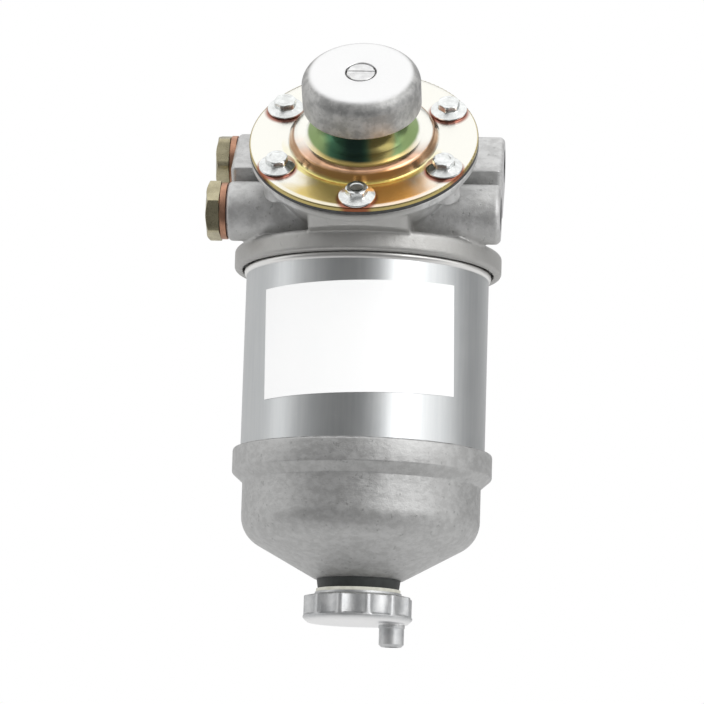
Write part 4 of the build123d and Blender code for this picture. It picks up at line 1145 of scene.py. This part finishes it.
# Studio: floor, a tent with a dark gap at the camera's side, and soft boxes
studio = dict(
    floorZ=-0.32,
    floorHalf=6.0,
    floorSeen=0.86,            # as the camera and dull surfaces see it
    floorFront=0.12,           # as the metal sees it, in front of the object
    floorUnder=0.72,           # under it
    floorBack=0.92,            # and behind it
    floorNear=(-0.42, -0.02),  # y from the front tone to the one under the object
    floorFar=(0.5, 1.6),       # and on to the one behind it
    tentRadius=3.2,
    tentHeights=(-0.32, 2.6),
    tentColumns=72,
    tentTurn=4.7,              # degrees that the stops below are turned to the right
    tentLeaning=(0.2, 0.62),   # between these heights the stops draw together
    tentLean=0.17,
    tentGlow=2.0,              # the brightest that a stop can be
    tentTones=[                # degrees from the front, positive to the right, and how bright
        (-180, 0.68), (-140, 0.70), (-122, 0.72), (-104, 0.74), (-88, 0.74), (-76, 0.66),
        (-64, 0.52), (-52, 0.36), (-40, 0.24), (-20, 0.21), (-4, 0.24), (6, 0.36), (15, 0.58),
        (26, 1.10), (36, 1.40), (82, 1.40), (94, 0.95), (103, 0.52), (112, 0.38), (140, 0.36),
        (160, 0.55), (180, 0.68),
    ],
    softBoxes={                # place, aim, width and height, and watts
        "overheadBox": ((0.0, -0.25, 1.5), (0, -0.07, 0), (2.0, 2.0), 1.0),
        "rightBox": ((1.15, -1.35, 0.6), (0, -0.07, -0.06), (0.9, 1.3), 6.0),
        "leftBox": ((-1.64, -0.35, 0.45), (0, -0.07, -0.06), (0.7, 1.4), 1.5),
    },
    skyDull=0.95,              # the world as dull surfaces see it; the camera and reflections see 1
)


def makeFloor(setup):
    half = setup["floorHalf"]
    corners = [(-half, -half, 0), (half, -half, 0), (half, half, 0), (-half, half, 0)]
    mesh = plainMesh(corners, [(0, 1, 2, 3)])
    floor = linked("studioFloor", mesh)
    floor.location = (0, 0, setup["floorZ"])
    material, graph, where = newMaterial("floorPaint")
    mirror = graph.node("ShaderNodeLightPath", out="Is Glossy Ray")
    x, y, z = split(graph, where)
    seen, front, under, back = (
        [setup[key]] * 3 for key in ("floorSeen", "floorFront", "floorUnder", "floorBack"))
    mirrored = blend(graph, y.step(*setup["floorNear"]), front, under)
    mirrored = blend(graph, y.step(*setup["floorFar"]), mirrored, back)
    tone = blend(graph, mirror, seen, mirrored)
    paint = graph.node("ShaderNodeBsdfPrincipled", sockets={"Base Color": tone, "Roughness": 0.8})
    below = graph.node("ShaderNodeNewGeometry", out="Backfacing")
    clear = graph.node("ShaderNodeBsdfTransparent")
    both = graph.node("ShaderNodeMixShader", sockets={0: below, 1: paint, 2: clear})
    graph.node("ShaderNodeOutputMaterial", sockets={"Surface": both})
    mesh.materials.append(material)


def makeTent(setup):
    # seen only in reflections; its tone follows the angle round the column
    points = [onCircle(setup["tentRadius"], angle - math.pi / 2, height)
              for height in setup["tentHeights"] for angle in fullTurn(setup["tentColumns"])]
    mesh = plainMesh(points, gridFaces(2, setup["tentColumns"]))
    material, graph, where = newMaterial("tentCloth")
    x, y, z = split(graph, where)
    lean = 1 + z.step(*setup["tentLeaning"]) * setup["tentLean"]
    fromFront = graph.calc("ARCTAN2", x, y * -1.0) / (2 * math.pi) - setup["tentTurn"] / 360
    around = fromFront * lean + 0.5
    stops = [(degrees / 360 + 0.5, tone / setup["tentGlow"]) for degrees, tone in setup["tentTones"]]
    tone = graph.node("ShaderNodeValToRGB", sockets={"Fac": graph.calc("FRACT", around)}, stops=stops)
    glow = graph.node("ShaderNodeEmission", sockets={"Color": tone, "Strength": setup["tentGlow"]})
    graph.node("ShaderNodeOutputMaterial", sockets={"Surface": glow})
    mesh.materials.append(material)
    tent = linked("studioTent", mesh)
    tent.location = (0, columnY, 0)
    tent.visible_camera = False
    tent.visible_diffuse = False
    tent.visible_shadow = False


def softBox(name, place, aim, size, power):
    light = bpy.data.lights.new(name, "AREA")
    light.shape = "RECTANGLE"
    light.size, light.size_y = size
    light.energy = power
    lamp = linked(name, light)
    lamp.location = place
    lamp.rotation_mode = "QUATERNION"
    lamp.rotation_quaternion = (Vector(aim) - Vector(place)).to_track_quat("-Z", "Y")


def makeWorld(setup):
    world = bpy.data.worlds.new("studioWorld")
    bpy.context.scene.world = world
    world.use_nodes = True
    tree = world.node_tree
    tree.nodes.clear()
    graph = Wire(tree)
    rays = graph.node("ShaderNodeLightPath").socket.node.outputs
    camera, glossy, through = (
        Wire(tree, rays[label]) for label in ("Is Camera Ray", "Is Glossy Ray", "Is Transmission Ray"))
    strength = setup["skyDull"] + (camera + glossy + through).clamped() * (1 - setup["skyDull"])
    glow = graph.node("ShaderNodeBackground", sockets={"Color": (1, 1, 1, 1), "Strength": strength})
    graph.node("ShaderNodeOutputWorld", sockets={"Surface": glow})


makeFloor(studio)
makeTent(studio)
for boxName, setting in studio["softBoxes"].items():
    softBox(boxName, *setting)
makeWorld(studio)
bpy.context.scene.view_settings.view_transform = "Standard"
print("studio set")

# Camera, at the photograph's place
shot = dict(
    azimuth=4.719,
    elevation=-9.173,
    roll=-1.781,
    distance=1146.063 * mm,
    focal=3216.765,            # in pixels of the picture
    picture=704,
    aimRight=-4.815 * mm,
    aim=Vector((0, -55.0, -68.114)) * mm,
)


def makeCamera(view):
    a, e, r = (math.radians(view[key]) for key in ("azimuth", "elevation", "roll"))
    back = Vector((math.sin(a) * math.cos(e), -math.cos(a) * math.cos(e), math.sin(e)))
    right = Vector((math.cos(a), math.sin(a), 0))
    up = right.cross(-back)
    turnedRight = math.cos(r) * right - math.sin(r) * up
    turnedUp = math.sin(r) * right + math.cos(r) * up
    data = bpy.data.cameras.new("photoCamera")
    data.sensor_width = 36.0
    data.lens = view["focal"] / view["picture"] * data.sensor_width
    data.clip_start, data.clip_end = 0.05, 50.0
    camera = linked("photoCamera", data)
    place = view["aim"] + right * view["aimRight"] + back * view["distance"]
    camera.matrix_world = Matrix.Translation(place) @ turnedTo(turnedRight, turnedUp, back)
    bpy.context.scene.camera = camera


makeCamera(shot)
print("camera set")
